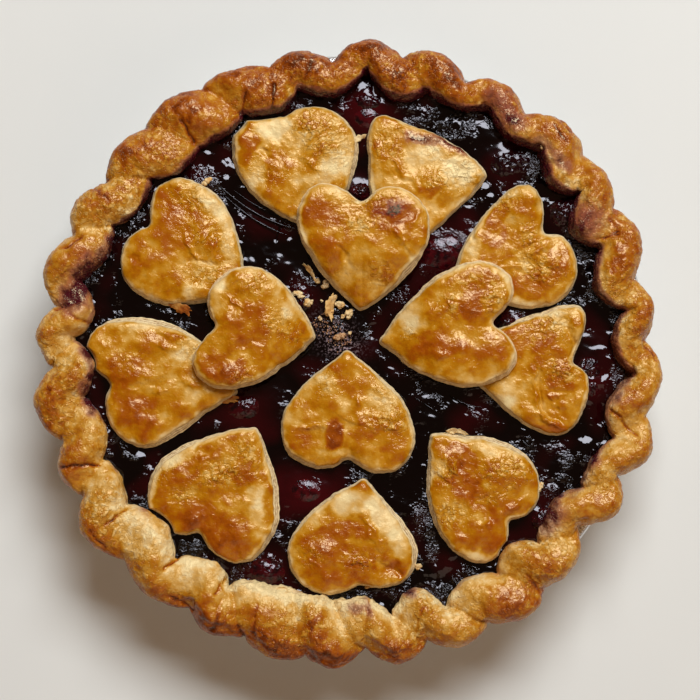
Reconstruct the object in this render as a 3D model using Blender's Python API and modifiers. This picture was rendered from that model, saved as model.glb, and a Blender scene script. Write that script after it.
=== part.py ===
"""Cherry pie with heart cut-outs, baked and carried in a foil tin.

Metres, +Z up. The origin is on the table, under the middle of the tin. The tin is turned, and the
crust, the filling and the hearts are lofted through rings of points that run round each piece.
"""

import math

import bmesh
import bpy
import numpy as np

MM = 0.001
GAP = 0.3 * MM  # air left between pieces that touch

# Foil tin: a thin pressed dish with a flat rim whose edge is rolled under.
TIN_FOIL = 0.8 * MM
TIN_STEPS = 56
TIN_BASE_RADIUS = 88 * MM
TIN_MOUTH_RADIUS = 110.5 * MM
TIN_RIM_TOP = 32 * MM
TIN_RIM_RADIUS = 120 * MM
TIN_ROLL_RADIUS = 1.6 * MM

# Crust: a lining of dough that ends in a thick crimped edge lying on the tin's rim.
CRUST_THICK = 4 * MM
CRUST_TOP = 46.5 * MM
OUTER_NOTCH = 6.5 * MM  # how far the outline draws in between two outer folds
INNER_NOTCH = 7.5 * MM  # how far it draws back between two inner folds
NOTCH_POWER = 1.6  # above 1 the folds are round and the notches sharp
CUTS_PER_CRIMP = 4

# Each crimp in turn, anticlockwise from +X: the direction of its outer fold in degrees, how far
# that fold reaches from the centre, and how far from the centre its next inner fold stops, in mm.
CRIMPS = (
    (8.5, 124.0, 102.5), (22.5, 127.0, 103.0), (34.0, 126.0, 107.5), (46.5, 127.5, 109.0),
    (60.0, 125.5, 107.5), (73.0, 127.0, 103.5), (86.0, 126.5, 103.5), (100.5, 124.0, 102.5),
    (113.5, 124.0, 102.0), (125.5, 125.5, 100.5), (138.0, 124.5, 103.0), (152.0, 125.5, 104.5),
    (165.0, 127.0, 103.5), (177.0, 125.0, 103.0), (189.5, 127.5, 101.5), (203.5, 125.0, 103.5),
    (215.0, 129.0, 101.5), (230.0, 125.5, 98.5), (243.5, 125.5, 96.5), (256.0, 125.5, 101.5),
    (266.5, 126.5, 98.0), (279.5, 125.5, 99.0), (291.0, 126.0, 102.0), (303.5, 128.0, 100.5),
    (315.0, 124.0, 103.5), (330.5, 125.5, 106.5), (342.5, 127.5, 106.0), (355.0, 126.0, 107.5),
)

# Filling: set cherry jam that fills the crust to just above the tin's rim.
FILLING_TOP = 36 * MM

# Hearts: puffed pastry cut with one cutter. The side leans in from the bottom edge to the top.
HEART_SIDE = 4.5 * MM
HEART_CROWN = 1.6 * MM  # how far the middle of the top stands above its edge
HEART_SHOULDER = 0.94  # size of the top's edge beside the bottom's
HEART_CUTS = 32
HEART_TIP = 0.70
HEART_TIP_SPREAD = 0.22
HEART_NOTCH_SPREAD = 0.16
HEART_LENGTH = 2.35  # length of the unscaled outline, between its tip and its lobes
HEART_TIP_END = (1 + HEART_TIP) / HEART_LENGTH  # share of the length between middle and tip
HEART_LIFT = HEART_SIDE + HEART_CROWN + 2 * GAP  # height of a heart that lies on two others
HEART_LIFT_END = -0.25  # share of the length, from the middle, by which it has climbed to that
CRUST_CLEARANCE = 0.9 * MM

# Each heart: name, middle (x, y) and the direction of its tip, width across the lobes and length,
# how it was pulled out of true (lean, uneven lobes, bend), how deep its notch is, and whether its
# lobes lie on its two neighbours. Lengths are in mm and the direction in degrees.
HEARTS = (
    ("far_heart_left", -21.5, 82.5, -76, 51.0, 51.5, -0.10, -0.25, 0.00, 0.45, False),
    ("far_heart_right", 32.5, 74.5, -95, 48.5, 46.5, -0.20, -1.10, -0.40, 0.20, False),
    ("far_heart_over", 6.5, 54.0, -92, 53.5, 53.0, -0.10, 0.00, -0.12, 0.75, True),
    ("left_heart_far", -72.0, 46.0, -32, 52.0, 53.5, 0.05, 0.15, -0.05, 0.75, False),
    ("left_heart_near", -85.5, -12.5, 7, 54.0, 57.5, 0.10, 0.70, -0.18, 0.80, False),
    ("left_heart_over", -47.0, 10.5, -12, 51.0, 48.0, -0.15, -0.10, -0.05, 0.70, True),
    ("right_heart_far", 75.0, 43.0, 216, 48.0, 53.0, -0.20, -0.25, -0.47, 0.90, False),
    ("right_heart_near", 84.0, -8.0, 189, 50.5, 54.0, -0.25, -0.45, -0.65, 0.65, False),
    ("right_heart_over", 53.0, 11.0, 182, 50.5, 58.5, -0.05, 0.00, 0.12, 0.85, True),
    ("near_heart_inner", 0.0, -34.0, 88, 54.5, 49.5, -0.05, -0.10, 0.00, 0.60, False),
    ("near_heart_left", -55.5, -63.0, 63, 55.5, 54.5, -0.05, -0.05, -0.12, 0.60, False),
    ("near_heart_middle", 2.5, -83.0, 93, 52.5, 44.5, -0.05, 0.30, -0.35, 0.45, False),
    ("near_heart_right", 58.0, -61.5, 141, 48.5, 52.5, 0.10, 0.20, -0.12, 0.60, False),
)


def clear_scene():
    """Take everything out of the open file."""
    for thing in list(bpy.data.objects):
        bpy.data.objects.remove(thing, do_unlink=True)


def new_collection(name):
    """A collection linked to the scene."""
    collection = bpy.data.collections.new(name)
    bpy.context.scene.collection.children.link(collection)
    return collection


def new_material(name, colour, roughness, metallic=0.0):
    """A plain Principled material."""
    material = bpy.data.materials.new(name)
    material.use_nodes = True
    shader = material.node_tree.nodes["Principled BSDF"]
    shader.inputs["Base Color"].default_value = (*colour, 1.0)
    shader.inputs["Roughness"].default_value = roughness
    shader.inputs["Metallic"].default_value = metallic
    material.diffuse_color = (*colour, 1.0)
    return material


def new_object(name, mesh, material, collection):
    """An object of a mesh, with its material, in a collection."""
    mesh.materials.append(material)
    mesh.shade_smooth()
    mesh.set_sharp_from_angle(angle=math.radians(50))
    thing = bpy.data.objects.new(name, mesh)
    collection.objects.link(thing)
    return thing


def lofted_mesh(name, first_pole, rings, last_pole):
    """Skin a closed body over rings of points, each end drawn together to a pole.

    Every ring runs anticlockwise seen from above, and the rings go from the underside, up the
    outside and over the top, which points the faces out. Each four-sided face is split from its
    higher ring at j to its lower ring at k, so two pieces that follow each other stay parallel.
    """
    model = bmesh.new()
    start = model.verts.new(first_pole)
    loops = [[model.verts.new(point) for point in ring] for ring in rings]
    end = model.verts.new(last_pole)
    count = len(loops[0])
    for j in range(count):
        k = (j + 1) % count
        model.faces.new((start, loops[0][k], loops[0][j]))
        for one, two in zip(loops, loops[1:]):
            if two[j].co.z >= one[j].co.z:
                model.faces.new((one[j], one[k], two[j]))
                model.faces.new((one[k], two[k], two[j]))
            else:
                model.faces.new((one[j], one[k], two[k]))
                model.faces.new((one[j], two[k], two[j]))
        model.faces.new((loops[-1][j], loops[-1][k], end))
    mesh = bpy.data.meshes.new(name)
    model.to_mesh(mesh)
    model.free()
    return mesh


def ring_of(angles, radii, height):
    """Points at the given directions, distances and height."""
    heights = np.broadcast_to(height, angles.shape)
    return np.stack([radii * np.cos(angles), radii * np.sin(angles), heights], axis=1)


def crimp_cuts():
    """Directions of the crust's sections: every fold, every notch and the places between."""
    folds = np.array([row[0] for row in CRIMPS])
    steps = (np.roll(folds, -1) - folds) % 360
    parts = np.arange(CUTS_PER_CRIMP) / CUTS_PER_CRIMP
    return np.radians((folds[:, None] + steps[:, None] * parts).ravel())


def scalloped(angles, turns, reaches, notch):
    """Distance of an outline that runs through the folds and draws away by notch between them.

    The share of the way to the nearer fold, raised to NOTCH_POWER, times the notch is added to
    the distance worked out straight from fold to fold.
    """
    full = 2 * math.pi
    ends = np.append(turns, turns[0] + full)
    values = np.append(reaches, reaches[0])
    along = (angles - turns[0]) % full + turns[0]
    step = np.clip(np.searchsorted(ends, along, side="right") - 1, 0, len(turns) - 1)
    part = (along - ends[step]) / (ends[step + 1] - ends[step])
    away = 1 - np.abs(2 * part - 1)
    straight = values[step] * (1 - part) + values[step + 1] * part
    return straight + notch * away**NOTCH_POWER


def crust_outline(angles):
    """Distances of the crust's outer and inner outlines in the given directions."""
    turns = np.radians([row[0] for row in CRIMPS])
    between = turns + ((np.roll(turns, -1) - turns) % (2 * math.pi)) / 2
    outer = scalloped(angles, turns, np.array([row[1] for row in CRIMPS]) * MM, -OUTER_NOTCH)
    inner = scalloped(angles, between, np.array([row[2] for row in CRIMPS]) * MM, INNER_NOTCH)
    return outer, inner


def tin_profile():
    """The tin's inside, from the middle of the base to the rolled edge of the rim."""
    floor = TIN_FOIL
    top = TIN_RIM_TOP
    roll = TIN_ROLL_RADIUS
    points = [
        (0.0, floor),
        (TIN_BASE_RADIUS - 2 * MM, floor),
        (TIN_BASE_RADIUS, floor + 1.2 * MM),
        (TIN_MOUTH_RADIUS - 1 * MM, top - 2 * MM),
        (TIN_MOUTH_RADIUS + 1 * MM, top),
        (TIN_RIM_RADIUS, top),
    ]
    for turn in (45, 90, 150):
        angle = math.radians(turn)
        points.append(
            (TIN_RIM_RADIUS + roll * math.sin(angle), top - roll + roll * math.cos(angle))
        )
    return points


def build_tin(collection):
    """Turn the inside of the tin, and give it the foil's thickness on the outside."""
    profile = tin_profile()
    mesh = bpy.data.meshes.new("foil_tin")
    mesh.from_pydata(
        [(radius, 0.0, height) for radius, height in reversed(profile)],
        [(i, i + 1) for i in range(len(profile) - 1)],
        [],
    )
    foil = new_material("foil", (0.62, 0.62, 0.63), 0.35, 1.0)
    tin = new_object("foil_tin", mesh, foil, collection)
    turn = tin.modifiers.new("turn", "SCREW")
    turn.steps = TIN_STEPS
    turn.render_steps = TIN_STEPS
    turn.use_merge_vertices = True
    turn.merge_threshold = 0.0001
    wall = tin.modifiers.new("foil thickness", "SOLIDIFY")
    wall.thickness = TIN_FOIL
    wall.offset = 1.0
    wall.use_even_offset = True


def crust_rings(angles):
    """The crust's sections as rings, from under the base, over the edge and down to the floor."""
    outer, inner = crust_outline(angles)
    facet = TIN_MOUTH_RADIUS * (1 - math.cos(math.pi / TIN_STEPS))
    fit = GAP + facet
    floor = TIN_FOIL + GAP
    seat = TIN_RIM_TOP + GAP
    width = outer - inner
    middle = (outer + inner) / 2
    leaning = (width - width.min()) / (width.max() - width.min())
    ridge = middle + (0.5 - leaning) * 1.5 * MM
    wall_top = TIN_MOUTH_RADIUS - CRUST_THICK
    full = np.full_like(angles, 1.0)
    return [
        ring_of(angles, full * (TIN_BASE_RADIUS - 2 * MM - fit), floor),
        ring_of(angles, full * (TIN_MOUTH_RADIUS - 1 * MM - fit), seat - 2 * MM),
        ring_of(angles, full * (TIN_MOUTH_RADIUS + 1 * MM - fit), seat),
        ring_of(angles, outer - 2.5 * MM, seat),
        ring_of(angles, outer, seat + 4 * MM),
        ring_of(angles, outer - 1.2 * MM, seat + 8.5 * MM),
        ring_of(angles, ridge + width * 0.25, CRUST_TOP - 1.5 * MM),
        ring_of(angles, ridge, CRUST_TOP),
        ring_of(angles, ridge - width * 0.25, CRUST_TOP - 1.5 * MM),
        ring_of(angles, inner + 1.2 * MM, CRUST_TOP - 5 * MM),
        ring_of(angles, inner, FILLING_TOP),
        ring_of(angles, np.minimum(inner, wall_top), seat - 1 * MM),
        ring_of(angles, full * (TIN_BASE_RADIUS - CRUST_THICK), floor + CRUST_THICK),
    ]


def build_crust(collection):
    """The dough lining with its crimped edge, as one piece."""
    angles = crimp_cuts()
    floor = TIN_FOIL + GAP
    rings = crust_rings(angles)
    mesh = lofted_mesh("crust", (0, 0, floor), rings, (0, 0, floor + CRUST_THICK))
    baked = new_material("baked_crust", (0.55, 0.27, 0.08), 0.55)
    new_object("crust", mesh, baked, collection)


def build_filling(collection):
    """The jam inside the crust, following the lining a gap away."""
    angles = crimp_cuts()
    lining = crust_rings(angles)
    floor_ring, wall_ring, edge_ring = lining[-1], lining[-2], lining[-3]
    rings = []
    for ring in (floor_ring, wall_ring, edge_ring):
        distance = np.hypot(ring[:, 0], ring[:, 1]) - GAP
        rings.append(ring_of(angles, distance, ring[:, 2]))
    rings[0][:, 2] += GAP
    rings[1][:, 2] += GAP
    rings[2][:, 2] = FILLING_TOP
    mesh = lofted_mesh("filling", (0, 0, rings[0][0, 2]), rings, (0, 0, FILLING_TOP))
    jam = new_material("cherry_jam", (0.035, 0.004, 0.008), 0.15)
    new_object("filling", mesh, jam, collection)


def heart_outline(turn, width, length, lean, uneven, bend, notch):
    """Outline of one heart about its own middle, and where each point lies along its length.

    A circle is drawn out to a tip at one end and pushed in at the other, each by a share that
    fades away exponentially along the outline. It is then scaled, leaned and bent.
    """
    way = np.linspace(-1, 1, HEART_CUTS, endpoint=False)
    from_notch = np.abs(way)
    across = np.sin(math.pi * way) / 2
    along = (
        np.cos(math.pi * way)
        - notch * np.exp(-from_notch / HEART_NOTCH_SPREAD)
        - HEART_TIP * np.exp(-(1 - from_notch) / HEART_TIP_SPREAD)
    ) / HEART_LENGTH
    along = along * (1 + uneven * across)
    side = across * width + lean * along * length + bend * along**2 * length
    turned = math.radians(turn + 90)
    x = side * math.cos(turned) - along * length * math.sin(turned)
    y = side * math.sin(turned) + along * length * math.cos(turned)
    return x[::-1], y[::-1], along[::-1]


def heart_climb(along):
    """Height that a heart lying on its neighbours has climbed, by the place along its length."""
    part = np.clip((along + HEART_TIP_END) / (HEART_LIFT_END + HEART_TIP_END), 0, 1)
    return HEART_LIFT * part * part * (3 - 2 * part)


def build_heart(row, material, collection):
    """One pastry heart, lying on the filling or with its lobes on the tips of two others."""
    name, x, y, turn, width, length, lean, uneven, bend, notch, over = row
    dx, dy, along = heart_outline(turn, width * MM, length * MM, lean, uneven, bend, notch)
    edge_x = x * MM + dx
    edge_y = y * MM + dy
    angles = np.arctan2(edge_y, edge_x)
    limit = crust_outline(angles)[1] - CRUST_CLEARANCE
    pulled_in = np.minimum(1, limit / np.hypot(edge_x, edge_y))
    edge = np.stack([edge_x * pulled_in, edge_y * pulled_in], axis=1)
    middle = edge.mean(axis=0)
    middle_along = along.mean()
    bed = FILLING_TOP + GAP

    def ring(size, height):
        spot = middle + (edge - middle) * size
        climb = heart_climb(middle_along + (along - middle_along) * size) * over
        return np.column_stack([spot, bed + climb + height])

    centre = ring(0.0, 0.0)[0]
    under = [ring(0.5, 0.0)] if over else []
    rings = [
        *under,
        ring(1.0, 0.0),
        ring(HEART_SHOULDER, HEART_SIDE),
        ring(0.55, HEART_SIDE + 0.8 * HEART_CROWN),
    ]
    top = centre + np.array([0, 0, HEART_SIDE + HEART_CROWN])
    mesh = lofted_mesh(name, centre, rings, top)
    new_object(name, mesh, material, collection)


def build_hearts(collection):
    """All thirteen hearts, sharing one material."""
    pastry = new_material("egg_washed_pastry", (0.62, 0.33, 0.09), 0.35)
    for row in HEARTS:
        build_heart(row, pastry, collection)


clear_scene()
pie = new_collection("cherry_pie")
build_tin(pie)
build_crust(pie)
build_filling(pie)
build_hearts(pie)
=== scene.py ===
"""Cherry pie topped with thirteen puffed pastry hearts, baked and carried in a foil tin.

Lengths are in metres, +Z is up and the origin lies on the table under the middle of the tin.
Rows of sizes are in millimetres and degrees.
"""

import math

import bpy
import numpy as np
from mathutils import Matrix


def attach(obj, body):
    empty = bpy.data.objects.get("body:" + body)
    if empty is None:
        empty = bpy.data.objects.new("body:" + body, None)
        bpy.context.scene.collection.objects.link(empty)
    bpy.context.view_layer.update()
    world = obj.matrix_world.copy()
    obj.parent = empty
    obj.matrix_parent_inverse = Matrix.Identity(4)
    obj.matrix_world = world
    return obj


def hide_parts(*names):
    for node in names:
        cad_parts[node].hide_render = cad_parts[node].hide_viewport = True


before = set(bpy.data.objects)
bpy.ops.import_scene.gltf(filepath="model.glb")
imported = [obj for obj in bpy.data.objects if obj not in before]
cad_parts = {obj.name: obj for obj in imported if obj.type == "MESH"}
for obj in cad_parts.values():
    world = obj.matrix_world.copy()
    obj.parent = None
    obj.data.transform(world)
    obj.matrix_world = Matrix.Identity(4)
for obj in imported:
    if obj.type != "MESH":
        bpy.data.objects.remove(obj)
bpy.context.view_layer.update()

# ---------------------------------------------------------------------------------------------
# Table, window and camera. The pie stands on a matt off-white table. One large soft window,
# behind it and to the right, lights it; pale walls fill the shadow that falls towards the viewer.
# ---------------------------------------------------------------------------------------------
MM = 0.001


def colour(red, green, blue):
    """Linear RGBA of a colour given in sRGB steps from 0 to 255."""
    steps = np.array([red, green, blue]) / 255
    linear = np.where(steps <= 0.04045, steps / 12.92, ((steps + 0.055) / 1.055) ** 2.4)
    return (*linear.tolist(), 1.0)


def put(tree, kind, inputs=None, **settings):
    """Add a shader node. Each of its inputs gets a value, or a link from another socket."""
    node = tree.nodes.new(kind)
    for name, value in settings.items():
        setattr(node, name, value)
    for name, value in (inputs or {}).items():
        if isinstance(value, bpy.types.NodeSocket):
            tree.links.new(value, node.inputs[name])
        else:
            node.inputs[name].default_value = value
    return node


def calc(tree, operation, first, second=0.0):
    """Output of a maths node that works on two values or sockets."""
    return put(tree, "ShaderNodeMath", {0: first, 1: second}, operation=operation).outputs[0]


def fit(tree, value, low, high, to_low=0.0, to_high=1.0):
    """Output of a node that maps low..high smoothly to to_low..to_high and holds the ends."""
    inputs = {0: value, 1: low, 2: high, 3: to_low, 4: to_high}
    return put(tree, "ShaderNodeMapRange", inputs, interpolation_type="SMOOTHSTEP").outputs[0]


def mix(tree, share, low, high):
    """Colour that runs from low to high by share."""
    return put(tree, "ShaderNodeMix", {0: share, 6: low, 7: high}, data_type="RGBA").outputs[2]


def grain(tree, place, size, detail=2.0, roughness=0.5):
    """Noise value from 0 to 1 whose lumps are about size metres across."""
    inputs = {"Vector": place, "Scale": 1 / size, "Detail": detail, "Roughness": roughness}
    return put(tree, "ShaderNodeTexNoise", inputs).outputs[0]


def new_material(name, roughness, metallic=0.0):
    """A material: its tree, its Principled shader and the place of the point being shaded."""
    material = bpy.data.materials.new(name)
    material.use_nodes = True
    tree = material.node_tree
    shader = tree.nodes["Principled BSDF"]
    shader.inputs["Roughness"].default_value = roughness
    shader.inputs["Metallic"].default_value = metallic
    return material, tree, shader, put(tree, "ShaderNodeTexCoord").outputs["Object"]


table_mesh = bpy.data.meshes.new("table")
table_mesh.from_pydata([(-2, -2, 0), (2, -2, 0), (2, 2, 0), (-2, 2, 0)], [], [(0, 1, 2, 3)])
table_top = bpy.data.objects.new("table", table_mesh)
bpy.context.collection.objects.link(table_top)
table_paint, tree, shader, place = new_material("table paint", 0.65)
cloudy = grain(tree, place, 90 * MM, 3.0)
shade = mix(tree, cloudy, colour(220, 221, 219), colour(227, 227, 224))
tree.links.new(shade, shader.inputs["Base Color"])
table_mesh.materials.append(table_paint)

window = bpy.data.objects.new("window", bpy.data.lights.new("window", "AREA"))
bpy.context.collection.objects.link(window)
window.data.shape = "RECTANGLE"
window.data.size = 1.2
window.data.size_y = 0.9
window.data.energy = 49
window.data.color = (0.95, 0.99, 1.0)
window.location = (0.37, 1.20, 1.73)
window.rotation_euler = (math.radians(-36), 0, math.radians(-17))

wall = bpy.data.objects.new("wall", bpy.data.lights.new("wall", "AREA"))
bpy.context.collection.objects.link(wall)
wall.data.size = 1.2
wall.data.energy = 3.5
wall.data.color = (1.0, 0.78, 0.56)
wall.location = (0.3, -1.0, 0.9)
wall.rotation_euler = (math.radians(48), 0, math.radians(17))

world = bpy.data.worlds.new("room")
bpy.context.scene.world = world
world.use_nodes = True
world.node_tree.nodes["Background"].inputs["Color"].default_value = (1.0, 0.56, 0.30, 1.0)
world.node_tree.nodes["Background"].inputs["Strength"].default_value = 0.12

camera = bpy.data.objects.new("camera", bpy.data.cameras.new("camera"))
bpy.context.collection.objects.link(camera)
camera.data.sensor_width = 36.0
camera.data.lens = 128.5
camera.data.clip_start = 0.05
camera.data.clip_end = 10.0
CAMERA_TILT = math.radians(3.2)
CAMERA_DISTANCE = 1.0
camera.location = (
    0.9 * MM,
    0.7 * MM - CAMERA_DISTANCE * math.sin(CAMERA_TILT),
    44 * MM + CAMERA_DISTANCE * math.cos(CAMERA_TILT),
)
camera.rotation_euler = (CAMERA_TILT, 0, 0)
bpy.context.scene.camera = camera
bpy.context.scene.view_settings.view_transform = "Standard"

# ---------------------------------------------------------------------------------------------
# Foil tin. A dish pressed from one round of aluminium foil: the wall gathers in fine pleats as
# it is drawn up, the flat rim is crimped all round and its edge is rolled under.
# ---------------------------------------------------------------------------------------------


def ring_of(angles, distance, height):
    """Points in the given directions at a distance from the middle and at a height."""
    distance = np.broadcast_to(distance, angles.shape)
    height = np.broadcast_to(height, angles.shape)
    return np.stack([distance * np.cos(angles), distance * np.sin(angles), height], axis=-1)


def skin(name, bodies, masks=None):
    """One object of closed bodies, each skinned over rings of points between two poles.

    A body is (rings, first pole, last pole). Its rings run anticlockwise seen from above and go
    from the underside, up the outside and over the top, so that the faces point out. A mask is
    one array of values over the rings for each body, stored on the points for the material.
    """
    points, corners, sizes, start = [], [], [], 0
    for rings, first, last in bodies:
        count, around = rings.shape[:2]
        here = np.arange(around)
        after = (here + 1) % around
        row = start + np.arange(count - 1)[:, None] * around
        quads = np.stack([row + here, row + after, row + around + after, row + around + here], -1)
        foot = start + count * around
        top = start + (count - 1) * around
        under = np.stack([np.full(around, foot), start + after, start + here], -1)
        over = np.stack([top + here, top + after, np.full(around, foot + 1)], -1)
        points.append(np.vstack([rings.reshape(-1, 3), first, last]))
        corners.append(np.concatenate([quads.ravel(), under.ravel(), over.ravel()]))
        sizes.append(np.repeat([4, 3], [(count - 1) * around, 2 * around]))
        start = foot + 2
    points, corners, sizes = map(np.concatenate, (points, corners, sizes))
    mesh = bpy.data.meshes.new(name)
    mesh.vertices.add(len(points))
    mesh.vertices.foreach_set("co", points.ravel())
    mesh.loops.add(len(corners))
    mesh.loops.foreach_set("vertex_index", corners)
    mesh.polygons.add(len(sizes))
    mesh.polygons.foreach_set("loop_start", np.cumsum(sizes) - sizes)
    mesh.update(calc_edges=True)
    mesh.shade_smooth()
    for label, values in (masks or {}).items():
        flat = [np.concatenate([v.ravel(), [v[0].mean(), v[-1].mean()]]) for v in values]
        attribute = mesh.attributes.new(label, "FLOAT", "POINT")
        attribute.data.foreach_set("value", np.concatenate(flat))
    thing = bpy.data.objects.new(name, mesh)
    bpy.context.collection.objects.link(thing)
    return thing


TIN_AROUND = 960
TIN_PLEATS = 120
TIN_RIM = 120.2
TIN_ROLL = 1.6
TIN_FOIL = 0.45
roll_turns = np.radians(np.linspace(180, 450, 13))
tin_rows = [
    (30, 0.0, 0.0), (60, 0.0, 0.0), (78, 0.0, 0.0), (86, 0.0, 0.0), (87.6, 0.25, 0.2),
    (88.5, 1.0, 0.6), (90.2, 3.5, 1.0), (93.6, 8.2, 1.0), (97.0, 12.9, 1.0), (100.4, 17.6, 1.0),
    (103.8, 22.2, 1.0), (107.2, 26.9, 0.9), (109.6, 30.2, 0.5), (111.0, 31.4, 0.15),
    (112.6, 31.55, 0.0), (115, 31.55, 0.0), (117.5, 31.55, 0.0),
    *[(TIN_RIM + TIN_ROLL * math.cos(t), 30.4 + TIN_ROLL * math.sin(t), 0.0) for t in roll_turns],
    (118, 32.0, 0.0), (115, 32.0, 0.0), (112.2, 32.0, 0.0), (110.8, 31.8, 0.15),
    (109.3, 30.2, 0.5), (106.9, 26.9, 0.9), (103.5, 22.2, 1.0), (100.1, 17.6, 1.0),
    (96.7, 12.9, 1.0), (93.3, 8.2, 1.0), (89.9, 3.5, 1.0), (88.1, 1.2, 0.6), (86.5, 0.5, 0.2),
    (78, TIN_FOIL, 0.0), (60, TIN_FOIL, 0.0), (30, TIN_FOIL, 0.0),
]
tin_turns = np.linspace(0, 2 * math.pi, TIN_AROUND, endpoint=False)
tin_random = np.random.default_rng(11)
pleat_depth = np.repeat(tin_random.uniform(0.2, 0.75, TIN_PLEATS), TIN_AROUND // TIN_PLEATS)
pleat = pleat_depth * (0.5 - 0.5 * np.cos(tin_turns * TIN_PLEATS))
# The pie sits a little off the middle of the rim, which shows behind it and on the right.
rim_swing = 1.4 * np.sin(tin_turns) + 0.9 * np.cos(tin_turns) - 1.5
tin_rings = np.stack([
    ring_of(tin_turns, (r + share * pleat + min(1, max(0, r - 111) / 6) * rim_swing) * MM, z * MM)
    for r, z, share in tin_rows
])
foil_tin = skin("pleated_tin", [(tin_rings, (0, 0, 0), (0, 0, TIN_FOIL * MM))])

foil, tree, shader, place = new_material("foil", 0.26, 1.0)
shader.inputs["Base Color"].default_value = (0.80, 0.80, 0.81, 1.0)
parts = put(tree, "ShaderNodeSeparateXYZ", {0: place})
around = calc(tree, "ARCTAN2", parts.outputs["Y"], parts.outputs["X"])
crimps = calc(tree, "SINE", calc(tree, "MULTIPLY", around, 560.0))
across = calc(tree, "MULTIPLY", parts.outputs["X"], parts.outputs["X"])
upward = calc(tree, "MULTIPLY", parts.outputs["Y"], parts.outputs["Y"])
distance = calc(tree, "SQRT", calc(tree, "ADD", across, upward))
on_rim = fit(tree, distance, 111 * MM, 113 * MM)
crumpled = grain(tree, place, 5 * MM, 3.0, 0.6)
crimps = calc(tree, "MULTIPLY", crimps, calc(tree, "MULTIPLY", on_rim, 0.5))
relief = calc(tree, "ADD", crimps, crumpled)
bump = put(tree, "ShaderNodeBump", {"Height": relief, "Distance": 0.35 * MM, "Strength": 1.0})
tree.links.new(bump.outputs[0], shader.inputs["Normal"])
foil_tin.data.materials.append(foil)
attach(foil_tin, "root")
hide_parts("foil_tin")

# ---------------------------------------------------------------------------------------------
# Crust. One sheet of short dough lines the tin; its spare edge is rolled up on the rim and
# pinched between finger and thumb into folds that swing out and in. Egg-washed, unevenly browned,
# and stained where the juice boiled over. Its colour also holds painted shade: in its cracks and
# creases, on the far side and along the inner foot.
# ---------------------------------------------------------------------------------------------
CRUST_SEAT = 32.4 * MM
CRUST_WIDEST = 38.2 * MM  # height at which the rolled edge is widest
CRUST_FOOT = 10.6 * MM  # how deep the outer foot would reach below it
CRUST_AROUND = 1160

# Each crimp: direction and reach of its outer fold and the reach of the inner notch there, then
# the direction and reach of the next outer notch and the reach of the inner fold there.
CRIMPS = np.array((
    (8.5, 124.7, 113.2, 14.5, 119.0, 102.2), (22.5, 127.0, 108.9, 28.5, 122.6, 101.5),
    (34.5, 126.4, 112.8, 40.0, 124.5, 105.6), (46.5, 128.0, 113.0, 53.5, 120.7, 107.9),
    (60.0, 125.5, 113.0, 66.5, 119.8, 107.7), (73.0, 127.0, 109.3, 79.5, 122.4, 103.3),
    (86.0, 127.1, 114.2, 93.0, 118.6, 103.7), (100.5, 124.0, 107.5, 105.5, 119.6, 100.6),
    (113.5, 124.0, 103.8, 119.0, 122.6, 100.4), (125.5, 125.8, 100.6, 132.0, 122.5, 99.8),
    (138.5, 125.2, 105.0, 145.0, 120.3, 101.9), (151.5, 125.8, 106.6, 157.0, 120.8, 104.5),
    (165.0, 127.4, 110.6, 171.0, 118.8, 103.0), (177.0, 125.2, 109.3, 183.0, 119.0, 102.7),
    (189.5, 127.5, 107.2, 197.5, 120.5, 101.8), (203.5, 125.6, 106.1, 208.5, 121.7, 103.3),
    (214.5, 129.6, 107.2, 223.0, 122.3, 99.8), (230.0, 126.0, 107.0, 238.0, 121.0, 99.4),
    (243.0, 125.5, 103.9, 250.0, 121.0, 98.4), (257.0, 126.2, 97.5, 262.0, 122.2, 98.5),
    (266.5, 126.5, 99.4, 273.5, 118.6, 98.2), (279.5, 126.5, 106.7, 285.5, 120.3, 99.2),
    (291.0, 126.2, 107.8, 297.5, 122.6, 102.4), (304.0, 128.3, 106.8, 310.0, 123.4, 100.1),
    (315.0, 125.0, 106.9, 323.0, 117.0, 101.8), (330.0, 125.9, 107.8, 335.5, 119.5, 106.8),
    (342.0, 127.9, 111.3, 348.0, 122.8, 105.7), (355.5, 126.7, 114.2, 362.5, 120.8, 106.0),
))


def scalloped(angles, folds, notches, power):
    """Distance of an outline that is round at its folds and sharp at the notches between them.

    Folds and notches are (direction in radians, distance) and take turns. Between a fold and a
    notch the distance changes by the share of the way from the fold, raised to power.
    """
    knots = np.concatenate([folds, notches])
    is_fold = np.repeat([1.0, 0.0], len(folds))
    order = np.argsort(knots[:, 0])
    turns, reach, is_fold = knots[order, 0], knots[order, 1], is_fold[order]
    turns = np.append(turns, turns[0] + 2 * math.pi)
    reach = np.append(reach, reach[0])
    along = (angles - turns[0]) % (2 * math.pi) + turns[0]
    step = np.clip(np.searchsorted(turns, along, side="right") - 1, 0, len(turns) - 2)
    part = (along - turns[step]) / (turns[step + 1] - turns[step])
    curved = np.where(is_fold[step] > 0.5, part**power, 1 - (1 - part) ** power)
    return reach[step] + (reach[step + 1] - reach[step]) * curved


def crust_edges(angles):
    """Distances of the crimped edge's outer and inner outlines in the given directions."""
    turns, mids = np.radians(CRIMPS[:, 0]), np.radians(CRIMPS[:, 3])
    outer = scalloped(angles, np.c_[turns, CRIMPS[:, 1]], np.c_[mids, CRIMPS[:, 4]], 1.7)
    inner = scalloped(angles, np.c_[mids, CRIMPS[:, 5]], np.c_[turns, CRIMPS[:, 2]], 1.8)
    return outer * MM, inner * MM


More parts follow.
